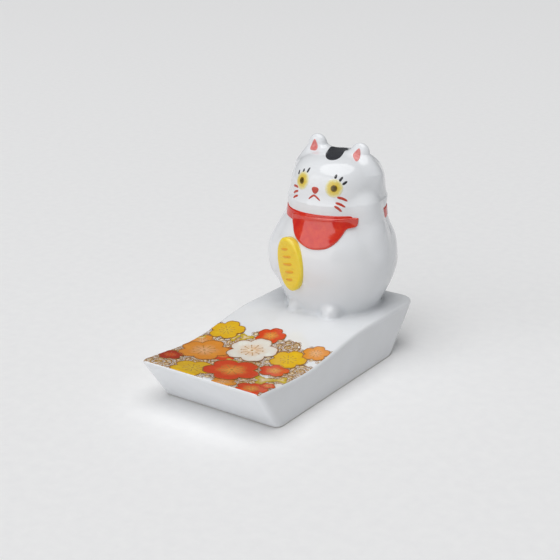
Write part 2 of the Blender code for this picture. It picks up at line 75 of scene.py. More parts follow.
def length(name, text, value):
    return bpy.props.FloatProperty(name=name, description=text, default=value, unit="LENGTH",
                                   precision=5)


def angle(name, text, degrees):
    return bpy.props.FloatProperty(name=name, description=text, default=math.radians(degrees),
                                   subtype="ANGLE")


def color(name, text, value):
    return bpy.props.FloatVectorProperty(name=name, description=text, default=(*value, 1.0),
                                         size=4, subtype="COLOR", min=0.0, max=1.0)


class FigurineClay(bpy.types.PropertyGroup):
    """Sizes of the porcelain under the enamel."""
    grid: length("Skin quad", "Width of the quads that skin the clay", 0.42 * MM)
    plinth_grid: length("Plinth quad", "Width of the quads that skin the plinth", 0.55 * MM)
    limb_fillet: length("Limb fillet", "Slip and glaze filling the seam of an arm", 3.2 * MM)
    foot_fillet: length("Foot fillet", "Slip and glaze filling the seam of a foot", 2.0 * MM)
    ear_fillet: length("Ear fillet", "Slip and glaze filling the seam of an ear", 2.8 * MM)
    base_fillet: length("Base fillet", "Glaze pooled where the cat meets the plinth", 2.2 * MM)
    rim_round: length("Rim round", "Softening of the plinth's top edge", 1.3 * MM)
    foot_round: length("Foot round", "Softening of the plinth's bottom edge", 0.6 * MM)
    front_corner: length("Front corner", "Corner radius at the low end", 2.1 * MM)
    rear_corner: length("Rear corner", "Corner radius at the high end", 5.5 * MM)
    recess: length("Foot recess", "Depth of the recess inside the foot ring", 0.4 * MM)


class FigurineEnamel(bpy.types.PropertyGroup):
    """Relief of the enamelled details."""
    film: length("Film", "Thickness of a painted enamel", 0.11 * MM)
    collar_relief: length("Collar relief", "Height of the collar over the neck", 0.32 * MM)
    bib_relief: length("Bib relief", "Height of the bib over the chest", 0.6 * MM)
    blossom_film: length("Print", "Thickness of one printed layer", 0.06 * MM)
    print_step: length("Print step", "Rise from one printed layer to the next", 0.05 * MM)


class FigurineColors(bpy.types.PropertyGroup):
    """Colours of the glaze and the enamels."""
    glaze: color("Glaze", "Clear glaze over white porcelain", (0.80, 0.815, 0.835))
    red: color("Red", "Bib and collar", (0.62, 0.018, 0.012))
    line_red: color("Line red", "Nose, mouth and whiskers", (0.48, 0.035, 0.02))
    coin: color("Coin", "Yellow enamel of the coin", (0.88, 0.60, 0.02))
    coin_mark: color("Coin mark", "Orange strokes on the coin", (0.80, 0.30, 0.01))
    iris: color("Iris", "Yellow of the eyes", (0.72, 0.50, 0.03))
    black: color("Black", "Patches, pupils and lashes", (0.028, 0.029, 0.034))
    pink: color("Pink", "Inside of the ears", (0.66, 0.13, 0.12))
    vermilion: color("Vermilion", "Blossoms", (0.70, 0.062, 0.010))
    orange: color("Orange", "Blossoms", (0.76, 0.28, 0.03))
    yellow: color("Yellow", "Blossoms", (0.76, 0.45, 0.012))
    white: color("White", "Blossoms left in white", (0.82, 0.78, 0.70))
    gold: color("Gold", "Outlines and stamens", (0.42, 0.20, 0.04))


# ---------------------------------------------------------------- distance functions

def smooth_min(a, b, reach):
    """Union of two distances, with a fillet of about reach."""
    mix = np.clip(0.5 + 0.5 * (b - a) / reach, 0.0, 1.0)
    return b * (1 - mix) + a * mix - reach * mix * (1 - mix)


def smooth_max(a, b, reach):
    return -smooth_min(-a, -b, reach)


BELLY_HEIGHTS = np.array([0.0, 6.0, 12.0, 18.0, 24.0, 30.0, 36.0]) * MM
BELLY_RADII = np.array([16.85, 19.25, 21.5, 22.1, 21.3, 18.0, 7.3]) * MM
BELLY_CURVE = np.polyfit(BELLY_HEIGHTS, BELLY_RADII, 5)
BELLY_SLOPE = np.polyder(BELLY_CURVE)
BELLY_TOP = 36.0 * MM
HEAD_HALF_WIDTH, HEAD_HALF_HEIGHT, HEAD_CENTRE = 16.6 * MM, 13.67 * MM, 41.0 * MM
HEAD_SQUARENESS = 2.8
NECK_FILLET = 7.9 * MM
FLAT_BACK_START, FLAT_BACK_END, FLAT_BACK_LOSS = 8.0 * MM, 18.7 * MM, 3.4 * MM


def axis_y(height):
    """Where the leaning axis of the cat stands at a height over the plateau."""
    return CAT_Y + LEAN * height


def body_distance(points):
    """Turned body and head, leaned back and flattened behind."""
    height = points[:, 2] - PLATEAU_Z
    depth = points[:, 1] - axis_y(height)
    beyond = np.clip((depth - FLAT_BACK_START) / (FLAT_BACK_END - FLAT_BACK_START), 0.0, 1.6)
    radius = np.hypot(points[:, 0], depth + FLAT_BACK_LOSS * beyond ** 3)
    level = np.clip(height, -2 * MM, BELLY_TOP)
    belly = (radius - np.polyval(BELLY_CURVE, level)) / np.hypot(1, np.polyval(BELLY_SLOPE, level))
    belly = np.maximum(belly, height - BELLY_TOP)
    across = radius / HEAD_HALF_WIDTH
    up = np.abs(height - HEAD_CENTRE) / HEAD_HALF_HEIGHT
    n = HEAD_SQUARENESS
    reach = (across ** n + up ** n + 1e-12) ** (1 / n)
    slope = reach ** (1 - n) * np.hypot(across ** (n - 1) / HEAD_HALF_WIDTH,
                                        up ** (n - 1) / HEAD_HALF_HEIGHT)
    head = (reach - 1) / np.maximum(slope, 1.0)
    return smooth_min(belly, head, NECK_FILLET)


def at_figure(turn, height, reach):
    """A point around the cat: turn in degrees from its front towards +X."""
    swing = math.radians(turn)
    return np.array([reach * math.sin(swing), axis_y(height) - reach * math.cos(swing),
                     PLATEAU_Z + height])


# Limbs: turn in degrees, then height, reach from the axis and own radius in mm
BECKONING_ARM = ((80, 21.5, 17.5, 4.7), (80, 28.0, 16.3, 5.1), (78, 32.5, 14.9, 5.0),
                 (71, 37.2, 14.5, 5.2))
COIN_ARM = ((-61, 31.0, 13.6, 3.6), (-60, 25.5, 16.6, 4.2), (-57, 20.0, 19.0, 4.7),
            (-52, 14.8, 18.8, 4.4))
TAIL = ((172, 3.4, 15.4, 2.9), (180, 4.4, 16.2, 2.9), (190, 7.2, 16.6, 2.5))


def smooth_line(stops, steps):
    """A Catmull-Rom line through rows of numbers, with steps pieces to each stretch."""
    knots = np.array(stops, float)
    knots = np.vstack([2 * knots[0] - knots[1], knots, 2 * knots[-1] - knots[-2]])
    line = []
    for a, b, c, d in zip(knots, knots[1:], knots[2:], knots[3:]):
        for t in np.arange(steps) / steps:
            line.append(0.5 * (2 * b + (c - a) * t + (2 * a - 5 * b + 4 * c - d) * t ** 2
                               + (3 * b - a - 3 * c + d) * t ** 3))
    return np.array(line + [knots[-2]])


def limb_line(path, steps=3):
    """Centres and radii along a limb given as (turn, height, reach, thickness)."""
    return smooth_line([(*at_figure(turn, height * MM, reach * MM), thick * MM)
                        for turn, height, reach, thick in path], steps)


def limb_distance(points, line):
    """A chain of tapering capsules."""
    nearest = None
    for start, end in zip(line, line[1:]):
        along = end[:3] - start[:3]
        t = np.clip((points - start[:3]) @ along / (along @ along), 0.0, 1.0)
        away = points - start[:3] - t[:, None] * along
        capsule = np.sqrt((away ** 2).sum(1)) - (start[3] + (end[3] - start[3]) * t)
        nearest = capsule if nearest is None else smooth_min(nearest, capsule, 0.6 * MM)
    return nearest


FOOT_SPREAD, FOOT_SHIFT, FOOT_Y, FOOT_RISE = 7.0 * MM, 1.5 * MM, 14.8 * MM, 1.6 * MM
FOOT_HALF_SIZES = np.array([3.1, 3.7, 2.8]) * MM


def foot_distance(points, side):
    centre = np.array([side * FOOT_SPREAD + FOOT_SHIFT, FOOT_Y, PLATEAU_Z + FOOT_RISE])
    scaled = (points - centre) / FOOT_HALF_SIZES
    reach = np.sqrt((scaled ** 2).sum(1))
    steep = np.sqrt(((scaled / FOOT_HALF_SIZES) ** 2).sum(1))
    return reach * (reach - 1) / np.maximum(steep, 1.0)


HEAD_TURN = 4.5
HEAD_DROP = 0.55 * MM                      # the left side of the head sits lower by twice this
EAR_SPREAD, EAR_BACK, EAR_TIP_HEIGHT = 8.9 * MM, -0.3 * MM, 59.0 * MM
EAR_TIP, EAR_FOOT, EAR_LENGTH = 3.5 * MM, 8.4 * MM, 6.2 * MM
EAR_FLATNESS, EAR_SPLAY = 0.58, 3.0
EAR_DISH_RADIUS, EAR_DISH_DROP, EAR_DISH_OUT = 7.0 * MM, 3.8 * MM, 9.15 * MM


def ear_frame(side):
    """The tip of an ear: Z runs up the ear and -Y is its front."""
    height = EAR_TIP_HEIGHT - side * HEAD_DROP
    return (Matrix.Translation((side * EAR_SPREAD, axis_y(height) + EAR_BACK,
                                PLATEAU_Z + height))
            @ Matrix.Rotation(math.radians(HEAD_TURN), 4, "Z")
            @ Matrix.Rotation(math.radians(side * EAR_SPLAY), 4, "Y"))


def ear_distance(points, side):
    """A flattened cone with a round tip and a shallow dish in its front."""
    inverse = np.array(ear_frame(side).inverted())
    local = points @ inverse[:3, :3].T + inverse[:3, 3]
    squeezed = local / np.array([1.0, EAR_FLATNESS, 1.0])
    top = np.array([0.0, 0.0, -EAR_TIP, EAR_TIP])
    foot = np.array([0.0, 0.0, -EAR_TIP - EAR_LENGTH, EAR_FOOT])
    cone = limb_distance(squeezed, [top, foot]) * EAR_FLATNESS
    dish = np.array([0.0, -EAR_DISH_OUT, -EAR_DISH_DROP])
    hollow = np.sqrt(((local - dish) ** 2).sum(1)) - EAR_DISH_RADIUS
    return smooth_max(cone, -hollow, 0.8 * MM)


def cat_distance_with(clay):
    """The whole cat as one distance function, with glaze in its seams."""
    raised, lowered, tail = limb_line(BECKONING_ARM), limb_line(COIN_ARM), limb_line(TAIL)

    def distance(points):
        cat = body_distance(points)
        for line in (raised, lowered, tail):
            cat = smooth_min(cat, limb_distance(points, line), clay.limb_fillet)
        for side in (-1, 1):
            cat = smooth_min(cat, foot_distance(points, side), clay.foot_fillet)
            cat = smooth_min(cat, ear_distance(points, side), clay.ear_fillet)
        return cat
    return distance


FRONT_FLARE, REAR_FLARE, SIDE_FLARE = 0.71, 0.73, 0.06
FRONT_FOOT_Y, REAR_FOOT_Y = -38.1 * MM, 36.7 * MM
LIP_Y, LIP_Z = -49.5 * MM, 16.1 * MM
VALLEY_Y, VALLEY_Z = -24.5 * MM, 13.9 * MM
RISE_END_Y = 12.5 * MM
FILLET_PER_RADIUS = 1.17                   # reach of a smooth blend that rounds like a radius


def wave_height(y):
    """Height of the plinth's top along its length: lip, valley, rise and plateau."""
    back = np.clip((VALLEY_Y - y) / (VALLEY_Y - LIP_Y), 0.0, 1.3)
    rise = np.clip((y - VALLEY_Y) / (RISE_END_Y - VALLEY_Y), 0.0, 1.0)
    return (VALLEY_Z + (LIP_Z - VALLEY_Z) * back ** 1.5
            + (PLATEAU_Z - VALLEY_Z) * (1 - np.cos(np.pi * rise)) / 2)


def plinth_distance_with(clay):
    half_width = PLINTH_HIGH.x - SIDE_FLARE * PLATEAU_Z
    vent_y, vent_radius, vent_depth = 10 * MM, 1.8 * MM, 5 * MM
    foot_ring = 4 * MM

    def distance(points):
        x, y, z = points.T
        front = (FRONT_FOOT_Y - FRONT_FLARE * z - y) / math.hypot(1, FRONT_FLARE)
        rear = (y - REAR_FOOT_Y - REAR_FLARE * z) / math.hypot(1, REAR_FLARE)
        side = np.abs(x) - half_width - SIDE_FLARE * z
        walls = smooth_max(side, front, FILLET_PER_RADIUS * clay.front_corner)
        walls = smooth_max(walls, rear, FILLET_PER_RADIUS * clay.rear_corner)
        nudge = 0.1 * MM
        slope = (wave_height(y + nudge) - wave_height(y - nudge)) / (2 * nudge)
        top = (z - wave_height(y)) / np.hypot(1, slope)
        block = smooth_max(walls, top, FILLET_PER_RADIUS * clay.rim_round)
        block = smooth_max(block, -z, FILLET_PER_RADIUS * clay.foot_round)
        recess = np.maximum(walls + foot_ring, z - clay.recess)
        vent = np.maximum(np.hypot(x, y - vent_y) - vent_radius, z - vent_depth)
        return smooth_max(smooth_max(block, -recess, 0.3 * MM), -vent, 0.3 * MM)
    return distance


def gradient(distance, points, nudge=0.02 * MM):
    slope = np.empty_like(points)
    for axis in range(3):
        step = np.zeros(3)
        step[axis] = nudge
        slope[:, axis] = (distance(points + step) - distance(points - step)) / (2 * nudge)
    return slope


def outward(distance, points):
    slope = gradient(distance, points)
    return slope / np.linalg.norm(slope, axis=1)[:, None]


def settle(distance, points, rounds=4):
    """Moves points onto the surface where the distance is zero."""
    for _ in range(rounds):
        slope = gradient(distance, points)
        steep = np.maximum((slope ** 2).sum(1), 0.05)
        points = points - slope * (distance(points) / steep)[:, None]
    return points


def trace(distance, starts, direction, rounds=40):
    """Moves points along a direction until they reach the surface."""
    points = starts.copy()
    for _ in range(rounds):
        points += direction * np.clip(distance(points), -1 * MM, 6 * MM)[:, None] * 0.9
    return points


SKIN_BLOCK = 4                             # samples along a block that is skipped as a whole


def inside_field(distance, low, counts, step):
    """True where a grid of samples lies inside; blocks far from the surface take one sample."""
    shape = counts // SKIN_BLOCK + 1
    width = SKIN_BLOCK * step
    middles = low + (np.indices(shape).reshape(3, -1).T + 0.5 - 0.5 / SKIN_BLOCK) * width
    coarse = distance(middles).reshape(shape)

    def spread(blocks):
        for axis in range(3):
            blocks = np.repeat(blocks, SKIN_BLOCK, axis)
        return blocks

    field = spread(coarse < 0)
    near = np.argwhere(spread(np.abs(coarse) < 1.1 * width))
    for part in np.array_split(near, max(1, len(near) // 200000)):
        field[tuple(part.T)] = distance(low + part * step) < 0
    return field


def relax(verts, quads):
    """Each corner moves to the mean of the corners it shares an edge with."""
    total, count = np.zeros_like(verts), np.zeros(len(verts))
    for start, end in ((0, 1), (1, 2), (2, 3), (3, 0)):
        for a, b in ((start, end), (end, start)):
            np.add.at(total, quads[:, a], verts[quads[:, b]])
            np.add.at(count, quads[:, a], 1)
    return total / count[:, None]


def skin(distance, low, high, step):
    """Quads over the surface, from a grid of samples, each corner moved onto it."""
    counts = np.ceil((high - low) / step).astype(int) + 1
    field = inside_field(distance, low, counts, step)
    near, far = slice(None, -1), slice(1, None)
    corners = sum(field[a, b, c].astype(int)
                  for a in (near, far) for b in (near, far) for c in (near, far))
    cells = (corners > 0) & (corners < 8)
    index = np.full(cells.shape, -1)
    index[cells] = np.arange(cells.sum())
    verts = low + (np.argwhere(cells) + 0.5) * step
    quads = []
    for axis in range(3):
        order = [axis, (axis + 1) % 3, (axis + 2) % 3]
        grid, cell = field.transpose(order), index.transpose(order)
        inner, outer = grid[:-1, 1:-1, 1:-1], grid[1:, 1:-1, 1:-1]
        for leaving in (True, False):
            i, j, k = np.nonzero((inner != outer) & (inner == leaving))
            ring = np.stack([cell[i, j, k], cell[i, j + 1, k], cell[i, j + 1, k + 1],
                             cell[i, j, k + 1]], 1)
            quads.append(ring if leaving else ring[:, ::-1])
    quads = np.vstack(quads)
    for _ in range(3):
        verts = settle(distance, relax(verts, quads), 3)
    return verts, quads


# ---------------------------------------------------------------- meshes

def new_mesh(name, verts, faces, values=None):
    """A smooth mesh, with a value for each corner point under each name in values."""
    mesh = bpy.data.meshes.new(name)
    mesh.from_pydata(np.asarray(verts).tolist(), [], [list(map(int, face)) for face in faces])
    for key, data in (values or {}).items():
        layer = mesh.attributes.new(key, "FLOAT", "POINT")
        layer.data.foreach_set("value", np.asarray(data, np.float32))
    mesh.polygons.foreach_set("use_smooth", [True] * len(mesh.polygons))
    mesh.update()
    return mesh


def piece(name, mesh, material, slot, nodes=()):
    """Shows a mesh as a piece of the figurine, standing for CAD nodes."""
    mesh.name = name
    shown = bpy.data.objects.new(name, mesh)
    bpy.context.scene.collection.objects.link(shown)
    mesh.materials.clear()
    mesh.materials.append(material)
    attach(shown, BODY)
    if nodes:
        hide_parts(*nodes)
    return shown


def loft(rings, closed=False):
    """Points and faces through rings of as many points, with a pole at each open end."""
    rings = [np.asarray(ring) for ring in rings]
    around, count = len(rings[0]), len(rings)
    verts = list(np.vstack(rings))
    faces = []
    for i in range(count if closed else count - 1):
        here, there = i * around, (i + 1) % count * around
        for j in range(around):
            k = (j + 1) % around
            faces.append((here + j, here + k, there + k, there + j))
    if not closed:
        for ring, base, flip in ((rings[0], 0, False), (rings[-1], (count - 1) * around, True)):
            pole = len(verts)
            verts.append(ring.mean(0))
            for j in range(around):
                k = (j + 1) % around
                faces.append((pole, base + j, base + k) if flip else (pole, base + k, base + j))
    return np.array(verts), faces


def faced_outwards(mesh):
    """Turns every face of closed shells outwards."""
    shells = bmesh.new()
    shells.from_mesh(mesh)
    bmesh.ops.recalc_face_normals(shells, faces=shells.faces)
    shells.to_mesh(mesh)
    shells.free()
    return mesh


def joined(name, parts, keys=()):
    """One mesh from (points, faces) parts; columns after the third are values named by keys."""
    verts, faces, start = [], [], 0
    for points, rings in parts:
        verts.append(points)
        faces += [tuple(corner + start for corner in face) for face in rings]
        start += len(points)
    verts = np.vstack(verts)
    values = {key: verts[:, 3 + i] for i, key in enumerate(keys)}
    return faced_outwards(new_mesh(name, verts[:, :3], faces, values))


# ---------------------------------------------------------------- layers laid on the clay

FAR = 32 * MM                              # start of a line towards the cat, from its axis


def round_cat(turns, heights):
    """Starts and directions of level lines towards the cat's axis."""
    swing = np.radians(turns)
    away = np.column_stack([np.sin(swing), -np.cos(swing), np.zeros(len(swing))])
    z = np.asarray(heights)
    foot = np.column_stack([np.zeros(len(z)), axis_y(z - PLATEAU_Z), z])
    return foot + FAR * away, -away


def facing(matrix, far):
    """Maps plane points to lines that run down a frame's Z towards its origin."""
    def lines(u, v):
        starts = np.column_stack([u, v, np.full(len(u), far), np.ones(len(u))])
        starts = (starts @ np.array(matrix).T)[:, :3]
        return starts, np.tile(-np.array(matrix)[:3, 2], (len(u), 1))
    return lines


def upright_frame(turn, height, reach, tilt=0.0):
    """A frame around the cat whose Z points outwards, Y up and X to the side."""
    place = Vector(at_figure(turn, height, reach))
    return (Matrix.Translation(place) @ Matrix.Rotation(math.radians(turn), 4, "Z")
            @ Matrix.Rotation(math.pi / 2, 4, "X") @ Matrix.Rotation(math.radians(tilt), 4, "Z"))


def dome(depth, edge):
    """Rise from 0 at the rim to 1 at a depth of edge, round like a poured film."""
    return np.sqrt(np.clip(1 - (1 - np.minimum(depth / edge, 1)) ** 2, 0, 1))


def patch(distance, outline, lines, relief, edge, rings=12, sink=0.2 * MM):
    """A film with a round rim inside a closed outline, drawn on the clay along lines.

    Its points carry their depth from the rim in mm and their share of the way to it."""
    outline = np.asarray(outline, float)
    centre = outline.mean(0)
    shares = 1 - (1 - np.linspace(0, 1, rings + 1)[1:]) ** 1.7
    tops, lows = [], []
    drawn = []
    for share in shares:
        flat = centre + (outline - centre) * share
        starts, along = lines(flat[:, 0], flat[:, 1])
        drawn.append(trace(distance, starts, along))
    for share, ring in zip(shares, drawn):
        depth = np.linalg.norm(ring - drawn[-1], axis=1)
        normal = outward(distance, ring)
        value = np.column_stack([depth / MM, np.full(len(ring), share)])
        tops.append(np.hstack([ring + normal * (relief * dome(depth, edge))[:, None], value]))
        lows.append(np.hstack([ring - normal * sink, value]))
    return loft(tops + lows[::-1])


def ribbon(distance, line, half_widths, relief, square=2, closed=False, sink=0.15 * MM):
    """A band of enamel along a line on the clay, wide as half_widths on either side."""
    line = np.asarray(line)
    ahead = np.roll(line, -1, 0) - np.roll(line, 1, 0)
    if not closed:
        ahead[0], ahead[-1] = line[1] - line[0], line[-1] - line[-2]
    aside = np.cross(outward(distance, line), ahead)
    aside /= np.linalg.norm(aside, axis=1)[:, None]
    across = np.array([-1, -0.93, -0.75, -0.4, 0, 0.4, 0.75, 0.93, 1])
    tops, lows = [], []
    for s in across:
        laid = settle(distance, line + aside * (s * half_widths)[:, None], 3)
        normal = outward(distance, laid)
        rise = relief * np.clip(half_widths / half_widths.max(), 0.3, 1)
        value = np.column_stack([half_widths * (1 - abs(s)) / MM, np.full(len(laid), abs(s))])
        top = laid + normal * (rise * (1 - abs(s) ** square) ** (1 / square))[:, None]
        tops.append(np.hstack([top, value]))
        if abs(s) in (1, 0.4):
            lows.append(np.hstack([laid - normal * sink, value]))
    stations = np.stack(tops + lows[::-1], 1)
    return loft(list(stations), closed)


def drawn_line(distance, lines, stops, steps=6):
    """A smooth line on the clay through plane stops (u, v)."""
    flat = smooth_line(stops, steps)
    starts, along = lines(flat[:, 0], flat[:, 1])
    return settle(distance, trace(distance, starts, along), 2)


def brush_mark(distance, lines, stops, width, relief, lean=0.0):
    """A short stroke with round ends, a little fuller towards its start or end."""
    line = drawn_line(distance, lines, stops)
    t = np.linspace(-1, 1, len(line))
    half = width / 2 * np.sqrt(np.clip(1 - 0.96 * t ** 4, 0.04, 1)) * (1 + lean * t)
    return ribbon(distance, line, half, relief)


def rounded(corners, radius_share, steps=7):
    """A closed outline through corners, each cut back by a share of its sides and rounded."""
    corners = np.asarray(corners, float)
    outline = []
    for before, corner, after in zip(np.roll(corners, 1, 0), corners, np.roll(corners, -1, 0)):
        start = corner + (before - corner) * radius_share
        end = corner + (after - corner) * radius_share
        for t in np.linspace(0, 1, steps):
            outline.append((1 - t) ** 2 * start + 2 * t * (1 - t) * corner + t ** 2 * end)
    return np.array(outline)


def closed_smooth(corners, steps=6):
    """A smooth closed outline through corners."""
    corners = np.asarray(corners, float)
    wrapped = np.vstack([corners[-2:], corners, corners[:3]])
    line = smooth_line(wrapped, steps)
    return line[2 * steps:(2 + len(corners)) * steps]


# ---------------------------------------------------------------- node trees

def add(tree, kind, inputs=(), **settings):
    """A node with its settings, and a value or a link for each named or numbered input."""
    node = tree.nodes.new(kind)
    for key, value in settings.items():
        setattr(node, key, value)
    for key, value in dict(inputs).items():
        if isinstance(value, bpy.types.NodeSocket):
            tree.links.new(value, node.inputs[key])
        else:
            node.inputs[key].default_value = value
    return node


def calc(tree, operation, *values, clamp=False):
    return add(tree, "ShaderNodeMath", dict(enumerate(values)), operation=operation,
               use_clamp=clamp).outputs[0]


def shader_tree(name):
    """An empty material and its tree, output and principled shader."""
    material = bpy.data.materials.new(name)
    material.use_nodes = True
    tree = material.node_tree
    tree.nodes.clear()
    shader = add(tree, "ShaderNodeBsdfPrincipled")
    add(tree, "ShaderNodeOutputMaterial", {"Surface": shader.outputs[0]})
    return material, tree, shader


def object_place(tree, scale=(1, 1, 1)):
    place = add(tree, "ShaderNodeTexCoord").outputs["Object"]
    return add(tree, "ShaderNodeMapping", {"Vector": place, "Scale": scale}).outputs[0]


def noise(tree, place, scale, detail=2.0, roughness=0.5):
    """Soft noise about 0.5, with features a thousand over scale millimetres wide."""
    return add(tree, "ShaderNodeTexNoise", {"Vector": place, "Scale": scale, "Detail": detail,
                                            "Roughness": roughness}).outputs[0]


def spread(tree, value, low, high, to_low, to_high, kind="LINEAR"):
    """Value from low..high brought to to_low..to_high, and held at the ends."""
    return add(tree, "ShaderNodeMapRange", {0: value, 1: low, 2: high, 3: to_low, 4: to_high},
               interpolation_type=kind).outputs[0]


def blend(tree, share, first, second):
    """A colour between two colours or colour sockets."""
    return add(tree, "ShaderNodeMix", {0: share, 6: first, 7: second},
               data_type="RGBA").outputs[2]


def tint(color, *gains):
    """A colour scaled in red, green and blue."""
    return tuple(min(1.0, c * g) for c, g in zip(color[:3], gains)) + (1.0,)


def attribute(tree, name):
    return add(tree, "ShaderNodeAttribute", attribute_name=name).outputs["Fac"]


def bumped(tree, shader, *layers):
    """Adds bumps to a shader: (height socket, depth in metres) each."""
    normal = None
    for height, depth in layers:
        inputs = {"Height": height, "Distance": depth, "Strength": 1.0}
        if normal:
            inputs["Normal"] = normal
        normal = add(tree, "ShaderNodeBump", inputs).outputs[0]
    tree.links.new(normal, shader.inputs["Normal"])


def set_shader(shader, **values):
    for key, value in values.items():
        shader.inputs[key.replace("_", " ")].default_value = value


def glaze_material(colors):
    """Clear glaze on white porcelain: it pools bluish in hollows, and the foot stays bare."""
    material, tree, shader = shader_tree("clear_glaze_over_porcelain")
    place = object_place(tree)
    clay = colors.glaze[:]
    pool = attribute(tree, "hollow")
    cloud = noise(tree, place, 90.0, 3.0)
    body = blend(tree, spread(tree, cloud, 0.3, 0.7, 0, 1), tint(clay, 0.985, 0.985, 0.98),
                 tint(clay, 1.01, 1.01, 1.015))
    body = blend(tree, spread(tree, pool, 0.05, 0.6, 0, 0.6), body, tint(clay, 0.86, 0.9, 0.93))
    height = add(tree, "ShaderNodeSeparateXYZ", {0: place}).outputs[2]
    edge = calc(tree, "ADD", height, calc(tree, "MULTIPLY", noise(tree, place, 700.0), 0.0005))
    bare = spread(tree, edge, 0.00075, 0.0009, 1, 0)
    grit = noise(tree, place, 9000.0, 2.0)
    biscuit = blend(tree, grit, tint(clay, 0.9, 0.86, 0.8), tint(clay, 1.0, 0.97, 0.92))
    specks = add(tree, "ShaderNodeTexVoronoi", {"Vector": place, "Scale": 240.0},
                 feature="F1").outputs["Distance"]
    iron = calc(tree, "MULTIPLY", spread(tree, specks, 0.02, 0.035, 1, 0),
                spread(tree, noise(tree, place, 60.0), 0.62, 0.66, 0, 0.35))
    body = blend(tree, iron, body, (0.35, 0.27, 0.2, 1))
    tree.links.new(blend(tree, bare, body, biscuit), shader.inputs["Base Color"])
    wiped = noise(tree, place, 160.0, 4.0, 0.6)
    gloss = spread(tree, wiped, 0.35, 0.75, 0.05, 0.13)
    rough = add(tree, "ShaderNodeMix", {0: bare, 2: gloss, 3: 0.75}, data_type="FLOAT").outputs[0]
    tree.links.new(rough, shader.inputs["Roughness"])
    set_shader(shader, IOR=1.52, Specular_IOR_Level=0.5)
    pits = add(tree, "ShaderNodeTexVoronoi", {"Vector": place, "Scale": 420.0},
               feature="F1").outputs["Distance"]
    bumped(tree, shader, (noise(tree, place, 110.0, 1.0), 0.00022),
           (spread(tree, pits, 0.0, 0.06, 0, 1), 0.000015),
           (calc(tree, "MULTIPLY", grit, bare), 0.00006))
    return material


def enamel_material(name, color, fine=0.5, streak=(1.0, 1.0, 1.0), edge=0.25, thin=0.2,
                    pale=None, gloss=0.12, index=1.54):
    """Enamel fired over the glaze.

    The colour is thinner towards the rim over edge mm, and streaks follow the brush."""
    material, tree, shader = shader_tree(name)
    place = object_place(tree)
    brushed = object_place(tree, streak)
    depth = attribute(tree, "depth")
    rim = spread(tree, depth, 0.0, edge, 1, 0, "SMOOTHSTEP")
    load = noise(tree, brushed, 1400.0 * fine, 3.0, 0.6)
    pools = noise(tree, place, 500.0 * fine, 2.0)
    dark = tint(color, 0.72, 0.62, 0.62)
    light = pale or tint(color, 1.16, 1.3, 1.3)
    body = blend(tree, spread(tree, load, 0.3, 0.75, 0, 0.55), color, light)
    body = blend(tree, spread(tree, pools, 0.55, 0.8, 0, 0.5), body, dark)
    body = blend(tree, calc(tree, "MULTIPLY", rim, thin), body, light)
    tree.links.new(body, shader.inputs["Base Color"])
    tree.links.new(spread(tree, load, 0.25, 0.8, gloss * 0.6, gloss * 1.7),
                   shader.inputs["Roughness"])
    set_shader(shader, IOR=index, Specular_IOR_Level=0.5)
    bumped(tree, shader, (pools, 0.00006), (load, 0.000012))
    return material


# ---------------------------------------------------------------- operators

def hollows(distance, verts, reach=0.5 * MM):
    """How hollow the clay is at each point: 0 where flat or round, 1 in a tight seam."""
    normal = outward(distance, verts)
    side = np.cross(normal, [0.36, 0.48, 0.8])
    side /= np.linalg.norm(side, axis=1)[:, None]
    other = np.cross(normal, side)
    total = sum(distance(verts + reach * (side * math.cos(a) + other * math.sin(a)))
                for a in np.arange(6) * math.pi / 3)
    return np.clip(-total / 6 / (0.25 * reach), 0, 1)


def clay_piece(name, distance, low, high, step, material, nodes):
    """Skins a distance function, with the glaze's normals and hollows."""
    verts, quads = skin(distance, np.array(low), np.array(high), step)
    mesh = new_mesh(name, verts, quads, {"hollow": hollows(distance, verts)})
    mesh.normals_split_custom_set_from_vertices(outward(distance, verts).tolist())
    return piece(name, mesh, material, "glazed_porcelain", nodes)


def shared_glaze(scene):
    found = bpy.data.materials.get("clear_glaze_over_porcelain")
    return found or glaze_material(scene.figurine_colors)


class FIGURINE_OT_plinth(bpy.types.Operator):
    """Makes the slip-cast plinth with its wave, flared walls, foot ring and vent"""
    bl_idname = "figurine.plinth"
    bl_label = "Plinth"

    def execute(self, context):
        clay = context.scene.figurine_clay
        margin = Vector((2 * MM,) * 3)
        clay_piece("plinth_glazed", plinth_distance_with(clay), PLINTH_LOW - margin,
                   PLINTH_HIGH + margin, clay.plinth_grid, shared_glaze(context.scene),
                   ("wave_plinth",))
        return {"FINISHED"}


class FIGURINE_OT_cat(bpy.types.Operator):
    """Makes the cat with its arms, feet, ears and tail run into the body"""
    bl_idname = "figurine.cat"
    bl_label = "Cat"

    def execute(self, context):
        clay = context.scene.figurine_clay
        cat = cat_distance_with(clay)

        def standing(points):
            """The cat over the plateau, with glaze pooled round its foot."""
            above = PLATEAU_Z - 0.35 * MM - points[:, 2]
            ground = points[:, 2] - PLATEAU_Z
            return np.maximum(smooth_min(cat(points), ground, clay.base_fillet), above)

        def clipped(points):
            """Only what stands clear of the plateau is skinned."""
            return np.maximum(standing(points), cat(points) - 0.85 * clay.base_fillet)

        low = Vector((PLINTH_LOW.x, BODY_LOW.y - 3 * MM, PLATEAU_Z - 1.5 * MM))
        high = Vector((PLINTH_HIGH.x, PLINTH_HIGH.y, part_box("left_ear")[1].z + 3 * MM))
        clay_piece("cat_glazed", clipped, low, high, clay.grid, shared_glaze(context.scene),
                   ("cat_body", "beckoning_arm", "coin_arm", "tail", "right_foot", "left_foot",
                    "right_ear", "left_ear"))
        return {"FINISHED"}


